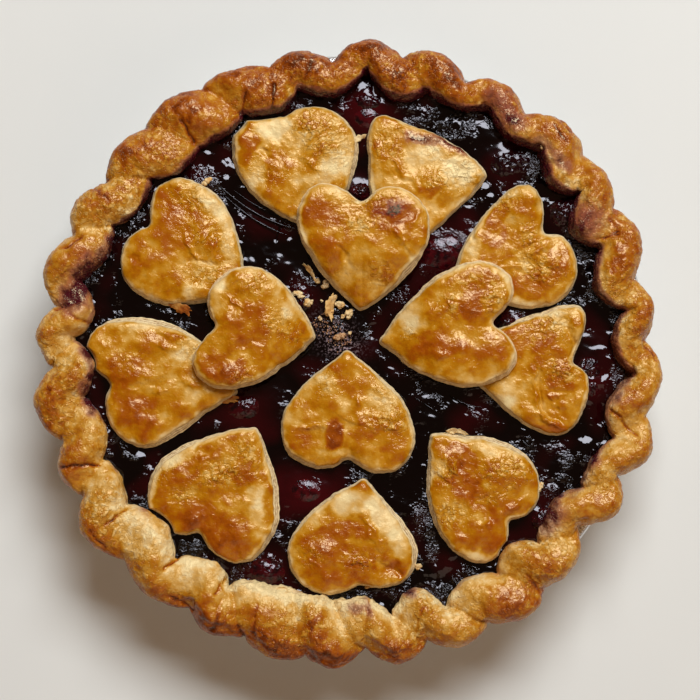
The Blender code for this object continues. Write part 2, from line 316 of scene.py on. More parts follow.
def uneven(points, size, seed):
    """Soft random lumps about size across, from about -1 to 1, at an array of points.

    A random direction stands at each corner of a turned grid of cells. A point's value is the
    sum, over its cell's eight corners, of how far it lies along each corner's direction, and an
    S-shaped weight fades each corner out towards the opposite ones.
    """
    random = np.random.default_rng(seed)
    turned = np.linalg.qr(random.normal(size=(3, 3)))[0]
    cells = points @ turned / size + random.uniform(0, 32, 3)
    slopes = random.normal(size=(32, 32, 32, 3))
    slopes /= np.linalg.norm(slopes, axis=-1, keepdims=True)
    base = np.floor(cells).astype(int)
    part = cells - base
    soft = part**3 * (part * (part * 6 - 15) + 10)
    total = np.zeros(points.shape[:-1])
    for corner in np.ndindex(2, 2, 2):
        cell = (base + corner) % 32
        slope = slopes[cell[..., 0], cell[..., 1], cell[..., 2]]
        weight = np.prod(np.where(corner, soft, 1 - soft), axis=-1)
        total += weight * np.sum(slope * (part - corner), axis=-1)
    return total * 1.7


def push_out(rings, amount):
    """The rings with each point moved out of the surface by its amount."""
    around = np.roll(rings, -1, axis=1) - np.roll(rings, 1, axis=1)
    outward = np.cross(around, np.gradient(rings, axis=0))
    outward /= np.maximum(np.linalg.norm(outward, axis=-1, keepdims=True), 1e-12)
    return rings + outward * np.asarray(amount)[..., None]


def crimp_steps(angles):
    """Number of folds and notches passed on the way round to each angle, as a real number."""
    knots = np.sort(np.radians(np.concatenate([CRIMPS[:, 0], CRIMPS[:, 3]])))
    knots = np.concatenate([knots[-2:] - 2 * math.pi, knots, knots[:2] + 2 * math.pi])
    return np.interp(angles, knots, np.arange(len(knots)) - 2.0)


def bell(points, x, y, length, width, turn=0.0):
    """1 at the middle of an ellipse, falling to 0.37 at its edge and to 0 outside it."""
    away_x, away_y = points[..., 0] / MM - x, points[..., 1] / MM - y
    angle = math.radians(turn)
    along = away_x * math.cos(angle) + away_y * math.sin(angle)
    across = away_y * math.cos(angle) - away_x * math.sin(angle)
    return np.exp(-((along / length) ** 2) - (across / width) ** 2)


def away_from(angles, direction):
    """Angle from a direction in degrees, in radians between -pi and pi."""
    return (angles - math.radians(direction) + math.pi) % (2 * math.pi) - math.pi


def rim_map(points, rows):
    """Sum of bells laid along the crimped edge, from rows of polar places and sizes."""
    total = np.zeros(points.shape[:-1])
    for direction, distance, length, width, strength in rows:
        x, y = distance * np.cos(np.radians(direction)), distance * np.sin(np.radians(direction))
        total += strength * bell(points, x, y, length * 1.25, width * 1.25, direction + 90)
    return total


# Places on the edge that tore and dried ragged: direction, distance, half length along the
# edge, half width, strength.
TORN = (
    (44.5, 114, 6, 3, 1.0), (35.5, 112, 5, 3, 0.9), (31.0, 116, 5, 3, 0.8), (41, 113, 5, 2, 0.7),
    (52, 112, 5, 2.5, 0.8), (61, 112, 5, 2, 0.6), (22, 106, 5, 2.5, 0.6), (340, 106, 5, 2.5, 0.7),
    (331, 106, 5, 2.5, 0.7), (319, 104, 5, 3, 0.8), (158, 106, 4, 2.5, 0.8), (150, 105, 5, 2, 0.6),
    (223, 107, 5, 2, 0.5), (7, 110, 5, 2, 0.5), (352, 110, 5, 2, 0.5), (184, 104, 5, 2, 0.6),
)

crust_turns = np.linspace(0, 2 * math.pi, CRUST_AROUND, endpoint=False)
outer_edge, inner_edge = crust_edges(crust_turns)
rope_way = np.linspace(-0.60, math.pi + 0.42, 60)[:, None]
share_in = (1 - np.cos(np.clip(rope_way, 0, math.pi))) / 2
rounded = np.cos(rope_way)
rounded = np.where(rounded > 0, np.abs(rounded) ** 0.72, -np.abs(rounded) ** 0.95)
rope_distance = (outer_edge + inner_edge) / 2 + (outer_edge - inner_edge) / 2 * rounded
lift = np.sin(rope_way)

# Ridges run slantwise from each inner fold to the next outer fold, with a valley between two.
# The place across ridges and valleys is the crimps passed, less one from inner to outer edge.
across_folds = crimp_steps(crust_turns) - (1 - share_in)
valley = (0.5 + 0.5 * np.cos(math.pi * across_folds)) ** 1.5
crust_random = np.random.default_rng(5)
valley_places = np.arange(-2, 2 * len(CRIMPS) + 1, 2)
valley_depths = crust_random.uniform(1.6, 3.6, len(valley_places))
crease_depths = 0.8 + 2.0 * crust_random.uniform(0.0, 1.0, len(valley_places)) ** 1.5
crust_ring = ring_of(crust_turns, 115 * MM, 0.0)
crest = 8.6 + 0.9 * uneven(crust_ring, 26 * MM, 21)
crest = crest - valley * np.interp(across_folds, valley_places, valley_depths)
rope_height = CRUST_WIDEST + np.where(lift > 0, crest * MM * np.abs(lift) ** 0.85, CRUST_FOOT * lift)

# The near side has a lower lip outside a seam, where the spare dough was folded under.
inwards = (outer_edge - rope_distance) / MM + 2.2 * uneven(crust_ring, 10 * MM, 26)
lip_share = np.clip(0.75 + 0.9 * uneven(crust_ring, 16 * MM, 38), 0.2, 1)
near_side = np.clip(1.7 - np.abs(away_from(crust_turns, 256)) / 0.40, 0, 1) * (lift > 0)
lip = 0.5 - 0.5 * np.tanh((inwards - 4.4) / 1.0)
seam = np.exp(-(((inwards - 5.0) / 0.55) ** 2))
drop = near_side * lip_share * (2.6 * lip + 0.8 * seam) * lift * MM
rope_height = np.maximum(rope_height - drop, CRUST_SEAT)
rope = ring_of(np.broadcast_to(crust_turns, rope_distance.shape), rope_distance, rope_height)

section = np.linspace(0, 1, len(rope))[:, None]
on_top = np.exp(-(((section - 0.55) / 0.42) ** 6))
from_valley = ((across_folds + 1) % 2 - 1) * 13
crease = np.exp(-np.abs(from_valley) / 0.85) * np.interp(across_folds, valley_places, crease_depths)
crease *= 0.4 + 0.6 * np.abs(2 * share_in - 1)
lumps = 0.85 * uneven(rope, 13 * MM, 22) + 0.52 * uneven(rope, 5.5 * MM, 23)
cracked = np.clip(0.3 + uneven(rope, 18 * MM, 27), 0, 1)
lumps -= 0.5 * cracked * np.maximum(0, 1 - 7 * np.abs(uneven(rope, 6 * MM, 24)))
lumps += 0.25 * uneven(rope, 2.2 * MM, 25)
fissured = np.clip(0.25 + 1.3 * uneven(rope, 15 * MM, 39), 0, 1)
fissures = fissured * np.maximum(0, 1 - 8 * np.abs(uneven(rope, 4.6 * MM, 40)))
lumps -= 0.46 * fissures
torn = np.clip(1.6 - np.abs(away_from(crust_turns, 264)) / 0.42, 0, 1)
torn = torn * np.clip((share_in - 0.80) / 0.12, 0, 1)
torn = np.maximum(torn, np.clip(rim_map(rope, TORN), 0, 1))
lumps += torn * (0.4 + 0.9 * uneven(rope, 3.4 * MM, 46) + 0.55 * uneven(rope, 1.6 * MM, 47))
pimpled = np.clip(0.45 + 0.9 * uneven(rope, 20 * MM, 48), 0, 1)
lumps += 0.16 * pimpled * np.abs(uneven(rope, 2.6 * MM, 49))
lining_rows = ((1.1, 86.5 - 2.6), (3.0, 86.2), (30.2, 108.4), (32.4, 111.0))
lining = [ring_of(crust_turns, r * MM, z * MM) for z, r in lining_rows]
bead = [ring_of(crust_turns, outer_edge - 4.0 * MM, CRUST_SEAT)]
wall = [
    ring_of(crust_turns, np.minimum(inner_edge, 106.2 * MM), 31.0 * MM),
    ring_of(crust_turns, 84.0 * MM, 5.1 * MM),
]

# Cracks that opened in the oven: from x, y to x, y and depth.
CRACKS = (
    (-115, -46.5, -99, -45.0, 1.5), (9, -97, 7.5, -108, 0.8), (-36, -100, -37, -112, 0.7),
    (-50, -99, -54, -110, 0.7), (-72, -97, -62, -103, 0.8), (30, -101, 27, -112, 0.6),
    (72, -90, 79, -98, 0.6), (-96, 60, -103, 68, 0.5), (-64, 92, -72, 99, 0.5),
    (52, 96, 58, 104, 0.6), (-18, 108, -15, 117, 0.6), (105, -23, 115, -33, 1.1),
    (-73, -87, -65.5, -80.5, 2.2), (-97, -68.5, -88.5, -62.5, 1.5), (-53, -96.5, -47.5, -90, 1.4),
    (-103, -71, -97, -78, 0.9), (120, 5, 123, -3, 0.9), (100.5, 44.5, 107.5, 48.5, 1.0),
    (105.5, 53.5, 109, 46.5, 0.9), (-29.3, 107.5, -30.3, 98, 1.3), (-67.5, 93, -61.5, 84, 1.5),
    (-41, 104, -43, 96, 1.0), (-113, 42, -107, 46, 1.4), (-117, 17.5, -108.5, 20, 1.3),
    (-112, 15.5, -103.5, 11.5, 1.0), (83, 91, 88, 84, 0.9), (86, 94, 90, 89, 0.7),
)


def crack_lines(points, rows):
    """Sum, over the rows, of the depth times a narrow bell of the distance to the row's line."""
    total = np.zeros(points.shape[:-1])
    for x, y, end_x, end_y, depth in rows:
        length = math.hypot(end_x - x, end_y - y)
        ahead = np.array([end_x - x, end_y - y]) / length
        away = points[..., :2] / MM - (x, y)
        along = away @ ahead
        beside = away @ (-ahead[1], ahead[0])
        beyond = np.maximum(0, np.abs(along - length / 2) - length / 2)
        total += depth * np.exp(-np.abs(beside) / 0.45 - (beyond / 0.8) ** 2)
    return total


strays = np.stack([uneven(rope, 5 * MM, seed) for seed in (28, 29, 30)], -1)
splits = crack_lines(rope + strays * MM, CRACKS)
rope = push_out(rope, (lumps - on_top * (crease + splits)) * MM)
rope[..., 2] = np.maximum(rope[..., 2], CRUST_SEAT)
crust_rings = np.concatenate([lining, bead, rope, wall])

BAKED = (
    # direction, distance, half length along the edge, half width, how much browner
    (133, 122, 26, 6, 0.16), (100, 121, 40, 5, 0.20), (62, 120, 20, 5, 0.08),
    (60, 105, 30, 3, 0.10), (118, 105, 16, 4, 0.10), (150, 106, 10, 4, 0.05),
    (192, 122, 16, 6, 0.18), (204, 116, 6, 8, 0.14), (218, 125, 14, 4, 0.24),
    (238, 122, 16, 4, 0.30), (255, 121, 22, 4, 0.30), (268, 122, 16, 4, 0.24),
    (250, 112, 6, 5, 0.14), (262, 112, 4, 6, 0.16), (281, 122, 10, 4, 0.24),
    (302, 121, 12, 5, 0.18), (307, 118, 8, 5, 0.16), (320, 118, 8, 5, 0.0),
)
PALE = (
    (236, 106, 12, 6, 0.30), (222, 108, 12, 6, 0.22), (210, 110, 8, 5, 0.16),
    (251, 101, 5, 5, 0.26), (258, 102, 5, 6, 0.24), (270, 108, 5, 5, 0.20),
    (276, 106, 8, 6, 0.16), (291, 110, 7, 5, 0.18), (300, 104, 8, 5, 0.14),
    (40, 106, 8, 4, 0.16), (14, 104, 8, 4, 0.18), (146, 103, 5, 4, 0.16),
    (174, 105, 6, 3, 0.14), (318, 102, 6, 5, 0.16), (334, 108, 6, 5, 0.12),
    (348, 108, 6, 4, 0.12), (354, 108, 5, 3, 0.14),
)
JUICE = (
    (28.5, 109, 6, 7, 0.50), (26, 103.5, 4, 3, 0.8), (41.5, 115, 4, 2, 0.6), (46.8, 114, 4, 3, 0.5),
    (59, 117, 5, 5, 0.4), (54.6, 114, 4, 3, 0.8), (165.8, 110, 5, 4, 1.0), (169.4, 113, 4, 4, 0.9),
    (161.6, 110, 4, 2.5, 0.9), (158.6, 104, 4, 2.5, 0.9), (154.2, 105, 3, 2, 0.8),
    (180, 104, 3, 2, 0.9), (185, 103, 3, 1.5, 0.8), (188.1, 106, 3, 2, 0.7), (191.5, 105, 3, 2, 0.9),
    (271.7, 102, 3, 2, 0.45), (274.5, 102, 1.2, 4, 0.5), (284.6, 99, 2.5, 2, 0.8),
    (320.5, 103.5, 5, 4, 0.95), (326.2, 102, 3, 1.5, 0.7), (329.4, 107, 3, 1.5, 0.6),
    (336.6, 105.5, 4, 2.5, 0.9), (331.5, 104.5, 3, 2, 0.7), (350, 109, 3, 2, 0.6),
    (354.4, 112, 3.5, 2, 0.7), (339.2, 107, 3, 2, 0.5), (218, 103, 3, 2, 0.3),
)

wobble = np.stack([uneven(crust_rings, 5 * MM, seed) for seed in (31, 32, 33)], -1) * 1.6 * MM
strayed = crust_rings + wobble
outerness = np.concatenate([np.zeros((5, 1)), 1 - share_in, np.ones((2, 1))])
bake = 0.46 + 0.12 * (outerness - 0.5) + 0.10 * uneven(crust_rings, 14 * MM, 34)
bake += 0.16 * np.clip((crust_rings[..., 2] - 44 * MM) / (3 * MM), 0, 1)
# Darker towards the far right: partly browner baking, partly painted shade of the far inner faces.
bake += 0.10 * np.cos(crust_turns - 1.2) + 0.05 * np.cos(2 * (crust_turns - 4.6))
bake += rim_map(strayed, BAKED) - 0.72 * rim_map(strayed, PALE)
# Painted shade darkens the cracks, fissures, creases and near seam; valleys are a touch paler.
crevice_shade = 0.5 * splits + 0.20 * fissures + 0.08 * crease + 0.16 * near_side * seam * lip_share - 0.05 * valley
hidden = np.zeros((5, CRUST_AROUND))
bake += np.concatenate([hidden, crevice_shade - 0.30 * torn, hidden[:2]])
blister_and_highlight = np.concatenate([hidden, np.clip(0.16 + 0.75 * pimpled + 0.4 * torn, 0, 1), hidden[:2]])
juice = np.clip(rim_map(strayed, JUICE) * (1.15 + 0.5 * uneven(crust_rings, 3 * MM, 35)), 0, 1)
# Juice soaked into the inner foot, partly painted shade there, strongest on the far side.
soak_and_shade_line = 0.90 - 0.10 * np.cos(crust_turns - 0.9) + 0.07 * uneven(crust_rings, 6 * MM, 36)
soaked_and_shaded = np.clip((1 - outerness - soak_and_shade_line) / 0.10, 0, 1)
soaked_and_shaded[:5] = 0
juice = np.maximum(juice, soaked_and_shaded * np.clip(0.8 + 0.5 * np.sin(crust_turns - 0.2), 0.25, 1))
crust = skin(
    "crimped_crust",
    [(crust_rings, (0, 0, 1.1 * MM), (0, 0, 5.1 * MM))],
    {"bake": [bake], "juice": [juice], "wrinkled": [blister_and_highlight]},
)

# Baked dough looks the same wherever it is, so the crust, hearts and crumbs share its colours.
PASTRY_TONES = (
    (0.00, colour(236, 212, 164)), (0.22, colour(218, 176, 114)), (0.42, colour(192, 138, 70)),
    (0.57, colour(172, 108, 42)), (0.70, colour(158, 82, 24)), (0.84, colour(124, 54, 14)),
    (1.00, colour(84, 32, 12)),
)
pastry = bpy.data.node_groups.new("baked pastry", "ShaderNodeTree")
for label in ("Bake", "Juice", "Char", "Wrinkled", "Speckle", "Grain", "Egg"):
    pastry.interface.new_socket(label, in_out="INPUT", socket_type="NodeSocketFloat")
pastry.interface.new_socket("Colour", in_out="OUTPUT", socket_type="NodeSocketColor")
pastry.interface.new_socket("Height", in_out="OUTPUT", socket_type="NodeSocketFloat")
pastry.interface.new_socket("Roughness", in_out="OUTPUT", socket_type="NodeSocketFloat")
given = put(pastry, "NodeGroupInput").outputs
place = put(pastry, "ShaderNodeTexCoord").outputs["Object"]
patchy = grain(pastry, place, 4.6 * MM, 3.0, 0.5)
fine = grain(pastry, place, 0.9 * MM, 2.0, 0.5)
# Blisters stand up and are drawn paler, partly a painted highlight on their tops.
blister_and_highlight = fit(pastry, grain(pastry, place, 2.2 * MM, 2.0, 0.5), 0.48, 0.68)
blister_and_highlight = calc(pastry, "MULTIPLY", blister_and_highlight, calc(pastry, "ADD", given["Wrinkled"], 0.25))
patchy = fit(pastry, patchy, 0.28, 0.72)
tone = calc(pastry, "MULTIPLY", calc(pastry, "SUBTRACT", patchy, 0.5), given["Speckle"])
tone = calc(pastry, "ADD", given["Bake"], tone)
flecks = calc(pastry, "MULTIPLY", calc(pastry, "SUBTRACT", fine, 0.5), given["Grain"])
tone = calc(pastry, "ADD", tone, calc(pastry, "MULTIPLY", flecks, 0.5))
tone = calc(pastry, "SUBTRACT", tone, calc(pastry, "MULTIPLY", blister_and_highlight, 0.20))
# Furrows between the blisters, drawn a little darker as painted shade.
shaded_furrow = calc(pastry, "SUBTRACT", grain(pastry, place, 2.4 * MM, 2.0, 0.5), 0.5)
shaded_furrow = fit(pastry, calc(pastry, "ABSOLUTE", shaded_furrow), 0.0, 0.045, 1.0, 0.0)
shaded_furrow = calc(pastry, "MULTIPLY", shaded_furrow, calc(pastry, "ADD", given["Wrinkled"], 0.10))
tone = calc(pastry, "ADD", tone, calc(pastry, "MULTIPLY", shaded_furrow, 0.05))
tones = put(pastry, "ShaderNodeValToRGB", {0: tone})
ramp = tones.color_ramp
for position, shade in PASTRY_TONES[1:-1]:
    ramp.elements.new(position)
for element, (position, shade) in zip(ramp.elements, PASTRY_TONES):
    element.position = position
    element.color = shade
washed = calc(pastry, "MULTIPLY", given["Egg"], fit(pastry, tone, 0.12, 0.54, 0.12, 1.0))
glazed = {0: washed, 6: tones.outputs[0], 7: (1.0, 0.86, 0.02, 1.0)}
glaze = put(pastry, "ShaderNodeMix", glazed, data_type="RGBA", blend_type="MULTIPLY")
washed = glaze.outputs[2]
# Juice darkens the colour; on the crust it also carries painted shade along the inner foot.
wet = calc(pastry, "MULTIPLY", given["Juice"], fit(pastry, fine, 0.25, 0.6, 0.72, 1.05))
soaked_and_shaded = mix(pastry, fit(pastry, wet, 0.0, 0.45, 0.0, 0.75), washed, colour(158, 92, 72))
soaked_and_shaded = mix(pastry, fit(pastry, wet, 0.30, 0.95), soaked_and_shaded, colour(70, 12, 26))
char = calc(pastry, "MULTIPLY", given["Char"], fit(pastry, fine, 0.30, 0.62, 0.55, 1.15))
scorched = mix(pastry, fit(pastry, char, 0.0, 0.55), soaked_and_shaded, colour(128, 38, 12))
shade = mix(pastry, fit(pastry, char, 0.45, 1.0), scorched, colour(44, 4, 6))
height = calc(pastry, "MULTIPLY", patchy, 0.5)
height = calc(pastry, "ADD", height, calc(pastry, "MULTIPLY", flecks, 1.2))
height = calc(pastry, "ADD", height, calc(pastry, "MULTIPLY", blister_and_highlight, 0.7))
height = calc(pastry, "SUBTRACT", height, calc(pastry, "MULTIPLY", shaded_furrow, 0.55))
gloss = fit(pastry, wet, 0.2, 0.9, 0.0, 0.26)
rough = fit(pastry, tone, 0.1, 0.5, 0.42, 0.24)
rough = calc(pastry, "SUBTRACT", rough, calc(pastry, "MULTIPLY", gloss, 0.5))
rough = calc(pastry, "ADD", rough, fit(pastry, given["Egg"], 0.0, 1.0, 0.20, 0.0))
rough = calc(pastry, "ADD", rough, calc(pastry, "MULTIPLY", given["Char"], 0.25))
put(pastry, "NodeGroupOutput", {"Colour": shade, "Height": height, "Roughness": rough})


def attribute(tree, name):
    """Value that a piece stores on its points under a name."""
    return put(tree, "ShaderNodeAttribute", attribute_name=name).outputs["Fac"]


def pastry_material(name, speckle, grains, relief, egg):
    """A baked pastry material reading the piece's bake, juice and char masks."""
    material, tree, shader, place = new_material(name, 0.4)
    masks = {label.title(): attribute(tree, label) for label in ("bake", "juice", "char", "wrinkled")}
    surface = put(tree, "ShaderNodeGroup", node_tree=pastry)
    for label, socket in masks.items():
        tree.links.new(socket, surface.inputs[label])
    surface.inputs["Speckle"].default_value = speckle
    surface.inputs["Grain"].default_value = grains
    surface.inputs["Egg"].default_value = egg
    shader.inputs["Specular Tint"].default_value = (1.0, 0.82, 0.52, 1.0)
    shader.inputs["IOR"].default_value = 1.45 + 0.17 * egg
    bump = put(tree, "ShaderNodeBump", {"Height": surface.outputs["Height"], "Distance": relief})
    tree.links.new(surface.outputs["Colour"], shader.inputs["Base Color"])
    tree.links.new(surface.outputs["Roughness"], shader.inputs["Roughness"])
    tree.links.new(bump.outputs[0], shader.inputs["Normal"])
    return material, tree, shader, surface


crust_dough, tree, shader, surface = pastry_material("crust dough", 0.25, 0.26, 0.32 * MM, 0.80)
crust.data.materials.append(crust_dough)
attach(crust, "root")
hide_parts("crust")

# ---------------------------------------------------------------------------------------------
# Filling. Cherries boiled with sugar and starch, poured in hot and set to a jelly so dark that
# only thin places show red. It bubbled up along the crust and dried to a dull skin elsewhere.
# ---------------------------------------------------------------------------------------------
# Cherries under the jelly: x, y, half length, half width, turn, height, wrinkle depth, redness.
CHERRIES = (
    (66, 77, 9.5, 6.2, 15, 2.2, 0.8, 0.10), (8, 102, 7.0, 4.4, 0, 1.8, 0.4, 0.30),
    (8, 96, 8.0, 6.5, 0, 1.2, 0.15, 0.70), (5, 65, 5.4, 4.2, 0, 2.2, 0.6, 0.45),
    (38, 41, 12.0, 8.5, 20, 1.7, 0.25, 0.60), (64.5, 12.5, 4.6, 4.4, 0, 2.4, 0.7, 0.40),
    (97, -7, 6.0, 5.5, 60, 2.4, 0.7, 0.25), (98, -14, 5.5, 5.0, 0, 1.4, 0.3, 0.50),
    (-16.5, -55.5, 9.5, 6.5, -10, 1.2, 0.12, 0.80), (-33, -88, 9.0, 6.5, -10, 2.0, 0.3, 0.50),
    (79, -67, 6.0, 5.5, 40, 2.6, 0.8, 0.35), (88, 57, 7.0, 6.0, 60, 2.8, 0.9, 0.20),
    (-50, 3, 8.5, 6.0, 0, 1.2, 0.3, 0.20), (-62, 67, 7.0, 5.0, 30, 1.6, 0.5, 0.15),
    (32, 4, 8.5, 6.0, 30, 1.4, 0.4, 0.45), (-42, -22, 8.5, 6.0, 10, 1.6, 0.4, 0.45),
    (-101, -36, 6.0, 4.0, 70, 1.2, 0.3, 0.35), (-18, 21, 6.0, 5.0, 40, 1.6, 0.5, 0.40),
)
FILLING_TOP = 36 * MM
FILLING_AROUND = 720
FILLING_RINGS = 130
filling_turns = np.linspace(0, 2 * math.pi, FILLING_AROUND, endpoint=False)
filling_edge = np.minimum(crust_edges(filling_turns)[1] + 1.6 * MM, 112 * MM)
out = np.linspace(1, 0.008, FILLING_RINGS)[:, None]
jam = ring_of(np.broadcast_to(filling_turns, (FILLING_RINGS, FILLING_AROUND)), out * filling_edge, FILLING_TOP)
from_crust = (1 - out) * filling_edge
lively = 0.9 * np.exp(-from_crust / (13 * MM)) + 0.8 * uneven(jam, 16 * MM, 41)
lively = np.clip(lively + 0.25, 0.05, 1)
relief = uneven(jam, 12 * MM, 42) * 0.6 + uneven(jam, 5 * MM, 43) * 0.45 * (0.4 + lively)
relief += (1 - 2 * np.abs(uneven(jam, 3.4 * MM, 44))) * 0.35 * lively
for x, y, length, width, turn, height, wrinkle, red in CHERRIES:
    relief += 0.55 * height * bell(jam, x, y, length * 1.25, width * 1.25, turn)
jam[..., 2] += relief * MM - 0.5 * MM
filling_wall = [
    ring_of(filling_turns, 83.6 * MM, 5.4 * MM),
    ring_of(filling_turns, np.minimum(filling_edge, 105.8 * MM), 31.4 * MM),
]
filling_rings = np.concatenate([filling_wall, jam])
lively = np.concatenate([np.zeros((2, FILLING_AROUND)), lively])
thin = np.clip(0.36 * uneven(filling_rings, 13 * MM, 45), 0, 1)
for x, y, length, width, turn, height, wrinkle, red in CHERRIES:
    thin += 0.85 * red * bell(filling_rings, x, y, length * 1.35, width * 1.35, turn)
thin = np.clip(thin, 0, 1)
# A lilac-grey patch between the hearts' tips: dried sugary foam, partly a painted sheen.
residue_and_sheen = bell(filling_rings, -5, 8, 8, 5, -35) * 0.9 + bell(filling_rings, -3, 2, 6, 3) * 0.8
filling = skin(
    "cherry_filling",
    [(filling_rings, (0, 0, 5.4 * MM), (0, 0, FILLING_TOP))],
    {"lively": [lively], "thin": [thin], "residue_and_sheen": [residue_and_sheen]},
)

SYRUP_SHEEN = (0.84, 0.82, 0.92, 1.0)
jelly, tree, shader, place = new_material("cherry jelly", 0.08)
shader.inputs["Specular Tint"].default_value = SYRUP_SHEEN
lively = attribute(tree, "lively")
clusters = fit(tree, grain(tree, place, 10 * MM, 4.0, 0.6), 0.51, 0.65)
clusters = calc(tree, "MULTIPLY", clusters, calc(tree, "ADD", lively, 0.15))
drawn = {"Vector": place, "Rotation": (0, 0, 0.6), "Scale": (0.6, 1, 1)}
drawn = put(tree, "ShaderNodeMapping", drawn).outputs[0]
rugged = grain(tree, drawn, 1.15 * MM, 2.0, 0.6)
folds = grain(tree, drawn, 5 * MM, 1.0, 0.5)
relief = calc(tree, "MULTIPLY", calc(tree, "MULTIPLY", rugged, 2.0), clusters)
relief = calc(tree, "ADD", relief, calc(tree, "MULTIPLY", folds, 1.2))
bump = put(tree, "ShaderNodeBump", {"Height": relief, "Distance": 0.45 * MM, "Strength": 1.0})
deep = mix(tree, attribute(tree, "thin"), (0.0008, 0.00005, 0.0003, 1), (0.060, 0.0010, 0.0034, 1))
specks = fit(tree, grain(tree, place, 0.9 * MM, 2.0, 0.6), 0.50, 0.64)
dried_foam_and_sheen = mix(tree, calc(tree, "MULTIPLY", attribute(tree, "residue_and_sheen"), specks), deep, colour(158, 136, 142))
tree.links.new(dried_foam_and_sheen, shader.inputs["Base Color"])
tree.links.new(bump.outputs[0], shader.inputs["Normal"])
tree.links.new(fit(tree, lively, 0.1, 0.8, 0.10, 0.06), shader.inputs["Roughness"])
filling.data.materials.append(jelly)
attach(filling, "root")
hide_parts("filling")

# ---------------------------------------------------------------------------------------------
# Sunken cherries. Stoned sour cherries that lie just under the jelly: their skins stand up out
# of it as low wrinkled domes, redder and glossier than what surrounds them.
# ---------------------------------------------------------------------------------------------
def lump(x, y, z, sizes, turn, rough, around, count, seed, stretch=1.0):
    """Rings and poles of a wrinkled ellipsoid, its half sizes and roughness in millimetres.

    Rings stand at even steps of latitude. The surface then moves in and out by ridged noise.
    """
    latitude = np.linspace(-math.pi / 2, math.pi / 2, count + 2)[1:-1, None]
    angles = np.linspace(0, 2 * math.pi, around, endpoint=False)
    ball = np.stack(
        [
            np.cos(latitude) * np.cos(angles) * sizes[0],
            np.cos(latitude) * np.sin(angles) * sizes[1],
            np.broadcast_to(np.sin(latitude), (count, around)) * sizes[2],
        ],
        axis=-1,
    )
    broad = uneven(ball * (1, 1, stretch), max(sizes) * 0.9, seed)
    fine = 1 - 2.4 * np.abs(uneven(ball * (1, 1, stretch), max(sizes) * 0.24, seed + 500))
    ball = push_out(ball, rough * (broad + 0.45 * fine))
    angle = math.radians(turn)
    turned = np.stack(
        [
            ball[..., 0] * math.cos(angle) - ball[..., 1] * math.sin(angle) + x,
            ball[..., 0] * math.sin(angle) + ball[..., 1] * math.cos(angle) + y,
            ball[..., 2] + z,
        ],
        axis=-1,
    )
    turned *= MM
    return turned, turned[0].mean(axis=0), turned[-1].mean(axis=0)


cherry_bodies = []
for number, (x, y, length, width, turn, height, wrinkle, red) in enumerate(CHERRIES):
    deep = 4.5
    body = lump(x, y, 36 + height - deep, (length, width, deep), turn, wrinkle, 96, 48, 60 + number)
    cherry_bodies.append(body)
cherries = skin(
    "sunken_cherries",
    cherry_bodies,
    {"red": [np.full((48, 96), row[7]) for row in CHERRIES]},
)
cherry_skin, tree, shader, place = new_material("cherry skin", 0.06)
shader.inputs["Specular Tint"].default_value = SYRUP_SHEEN
shade = mix(tree, attribute(tree, "red"), (0.004, 0.0004, 0.0014, 1), (0.085, 0.002, 0.005, 1))
mottled = mix(tree, fit(tree, grain(tree, place, 2.5 * MM, 3.0), 0.35, 0.7), shade, (0.006, 0.001, 0.002, 1))
pores = grain(tree, place, 0.9 * MM, 3.0)
bump = put(tree, "ShaderNodeBump", {"Height": pores, "Distance": 0.16 * MM})
tree.links.new(mottled, shader.inputs["Base Color"])
tree.links.new(bump.outputs[0], shader.inputs["Normal"])
cherries.data.materials.append(cherry_skin)
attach(cherries, "root")

# ---------------------------------------------------------------------------------------------
# Hearts. Thirteen pieces of puff pastry from one cutter, laid on the jelly before baking. They
# rose in layers that show at the cut side, and their egg-washed tops blistered, wrinkled and
# browned unevenly. Three lie with their lobes on the tips of the two hearts beside them.
# ---------------------------------------------------------------------------------------------
HEART_AROUND = 288
HEART_SIDE = 4.5
HEART_CROWN = 1.3
HEART_LIFT = 6.7
HEART_LIFT_END = -0.25
HEART_BED = 36.3
HEART_LENGTH = 2.35
HEART_TIP = 0.70

# name, middle x and y, direction of the tip, width, length, lean, uneven lobes, bend, notch,
# whether it lies over its neighbours, and how much browner than most it is, where the paler
# tops of the two far hearts are partly a painted sheen from the window
HEARTS = (
    ("far_heart_left", -21.9, 83.6, -76, 51.0, 51.5, -0.10, -0.25, 0.00, 0.45, False, -0.09),
    ("far_heart_right", 32.1, 75.0, -95, 48.5, 46.5, -0.20, -1.10, -0.40, 0.20, False, -0.08),
    ("far_heart_over", 6.2, 54.0, -92, 53.5, 53.0, -0.10, 0.00, -0.12, 0.75, True, -0.02),
    ("left_heart_far", -72.4, 46.4, -32, 52.0, 53.5, 0.05, 0.15, -0.05, 0.62, False, 0.00),
    ("left_heart_near", -85.9, -12.1, 7, 54.0, 57.5, 0.10, 0.70, -0.18, 0.64, False, 0.00),
    ("left_heart_over", -46.6, 9.8, -12, 51.0, 48.0, -0.15, -0.10, -0.05, 0.70, True, 0.00),
    ("right_heart_far", 75.4, 43.4, 216, 48.0, 53.0, -0.20, -0.25, -0.47, 0.76, False, -0.03),
    ("right_heart_near", 84.4, -7.0, 189, 50.5, 54.0, -0.25, -0.45, -0.65, 0.75, False, 0.05),
    ("right_heart_over", 53.7, 11.4, 182, 50.5, 58.5, -0.05, 0.00, 0.12, 0.85, True, 0.00),
    ("near_heart_inner", 0.0, -34.4, 88, 54.5, 49.5, -0.05, -0.10, 0.00, 0.60, False, 0.02),
    ("near_heart_left", -55.5, -63.7, 63, 55.5, 54.5, -0.05, -0.05, -0.12, 0.60, False, 0.06),
    ("near_heart_middle", 2.2, -82.7, 93, 52.5, 44.5, -0.05, 0.30, -0.35, 0.45, False, 0.05),
    ("near_heart_right", 58.0, -61.5, 141, 48.5, 52.5, 0.10, 0.20, -0.12, 0.60, False, 0.04),
)
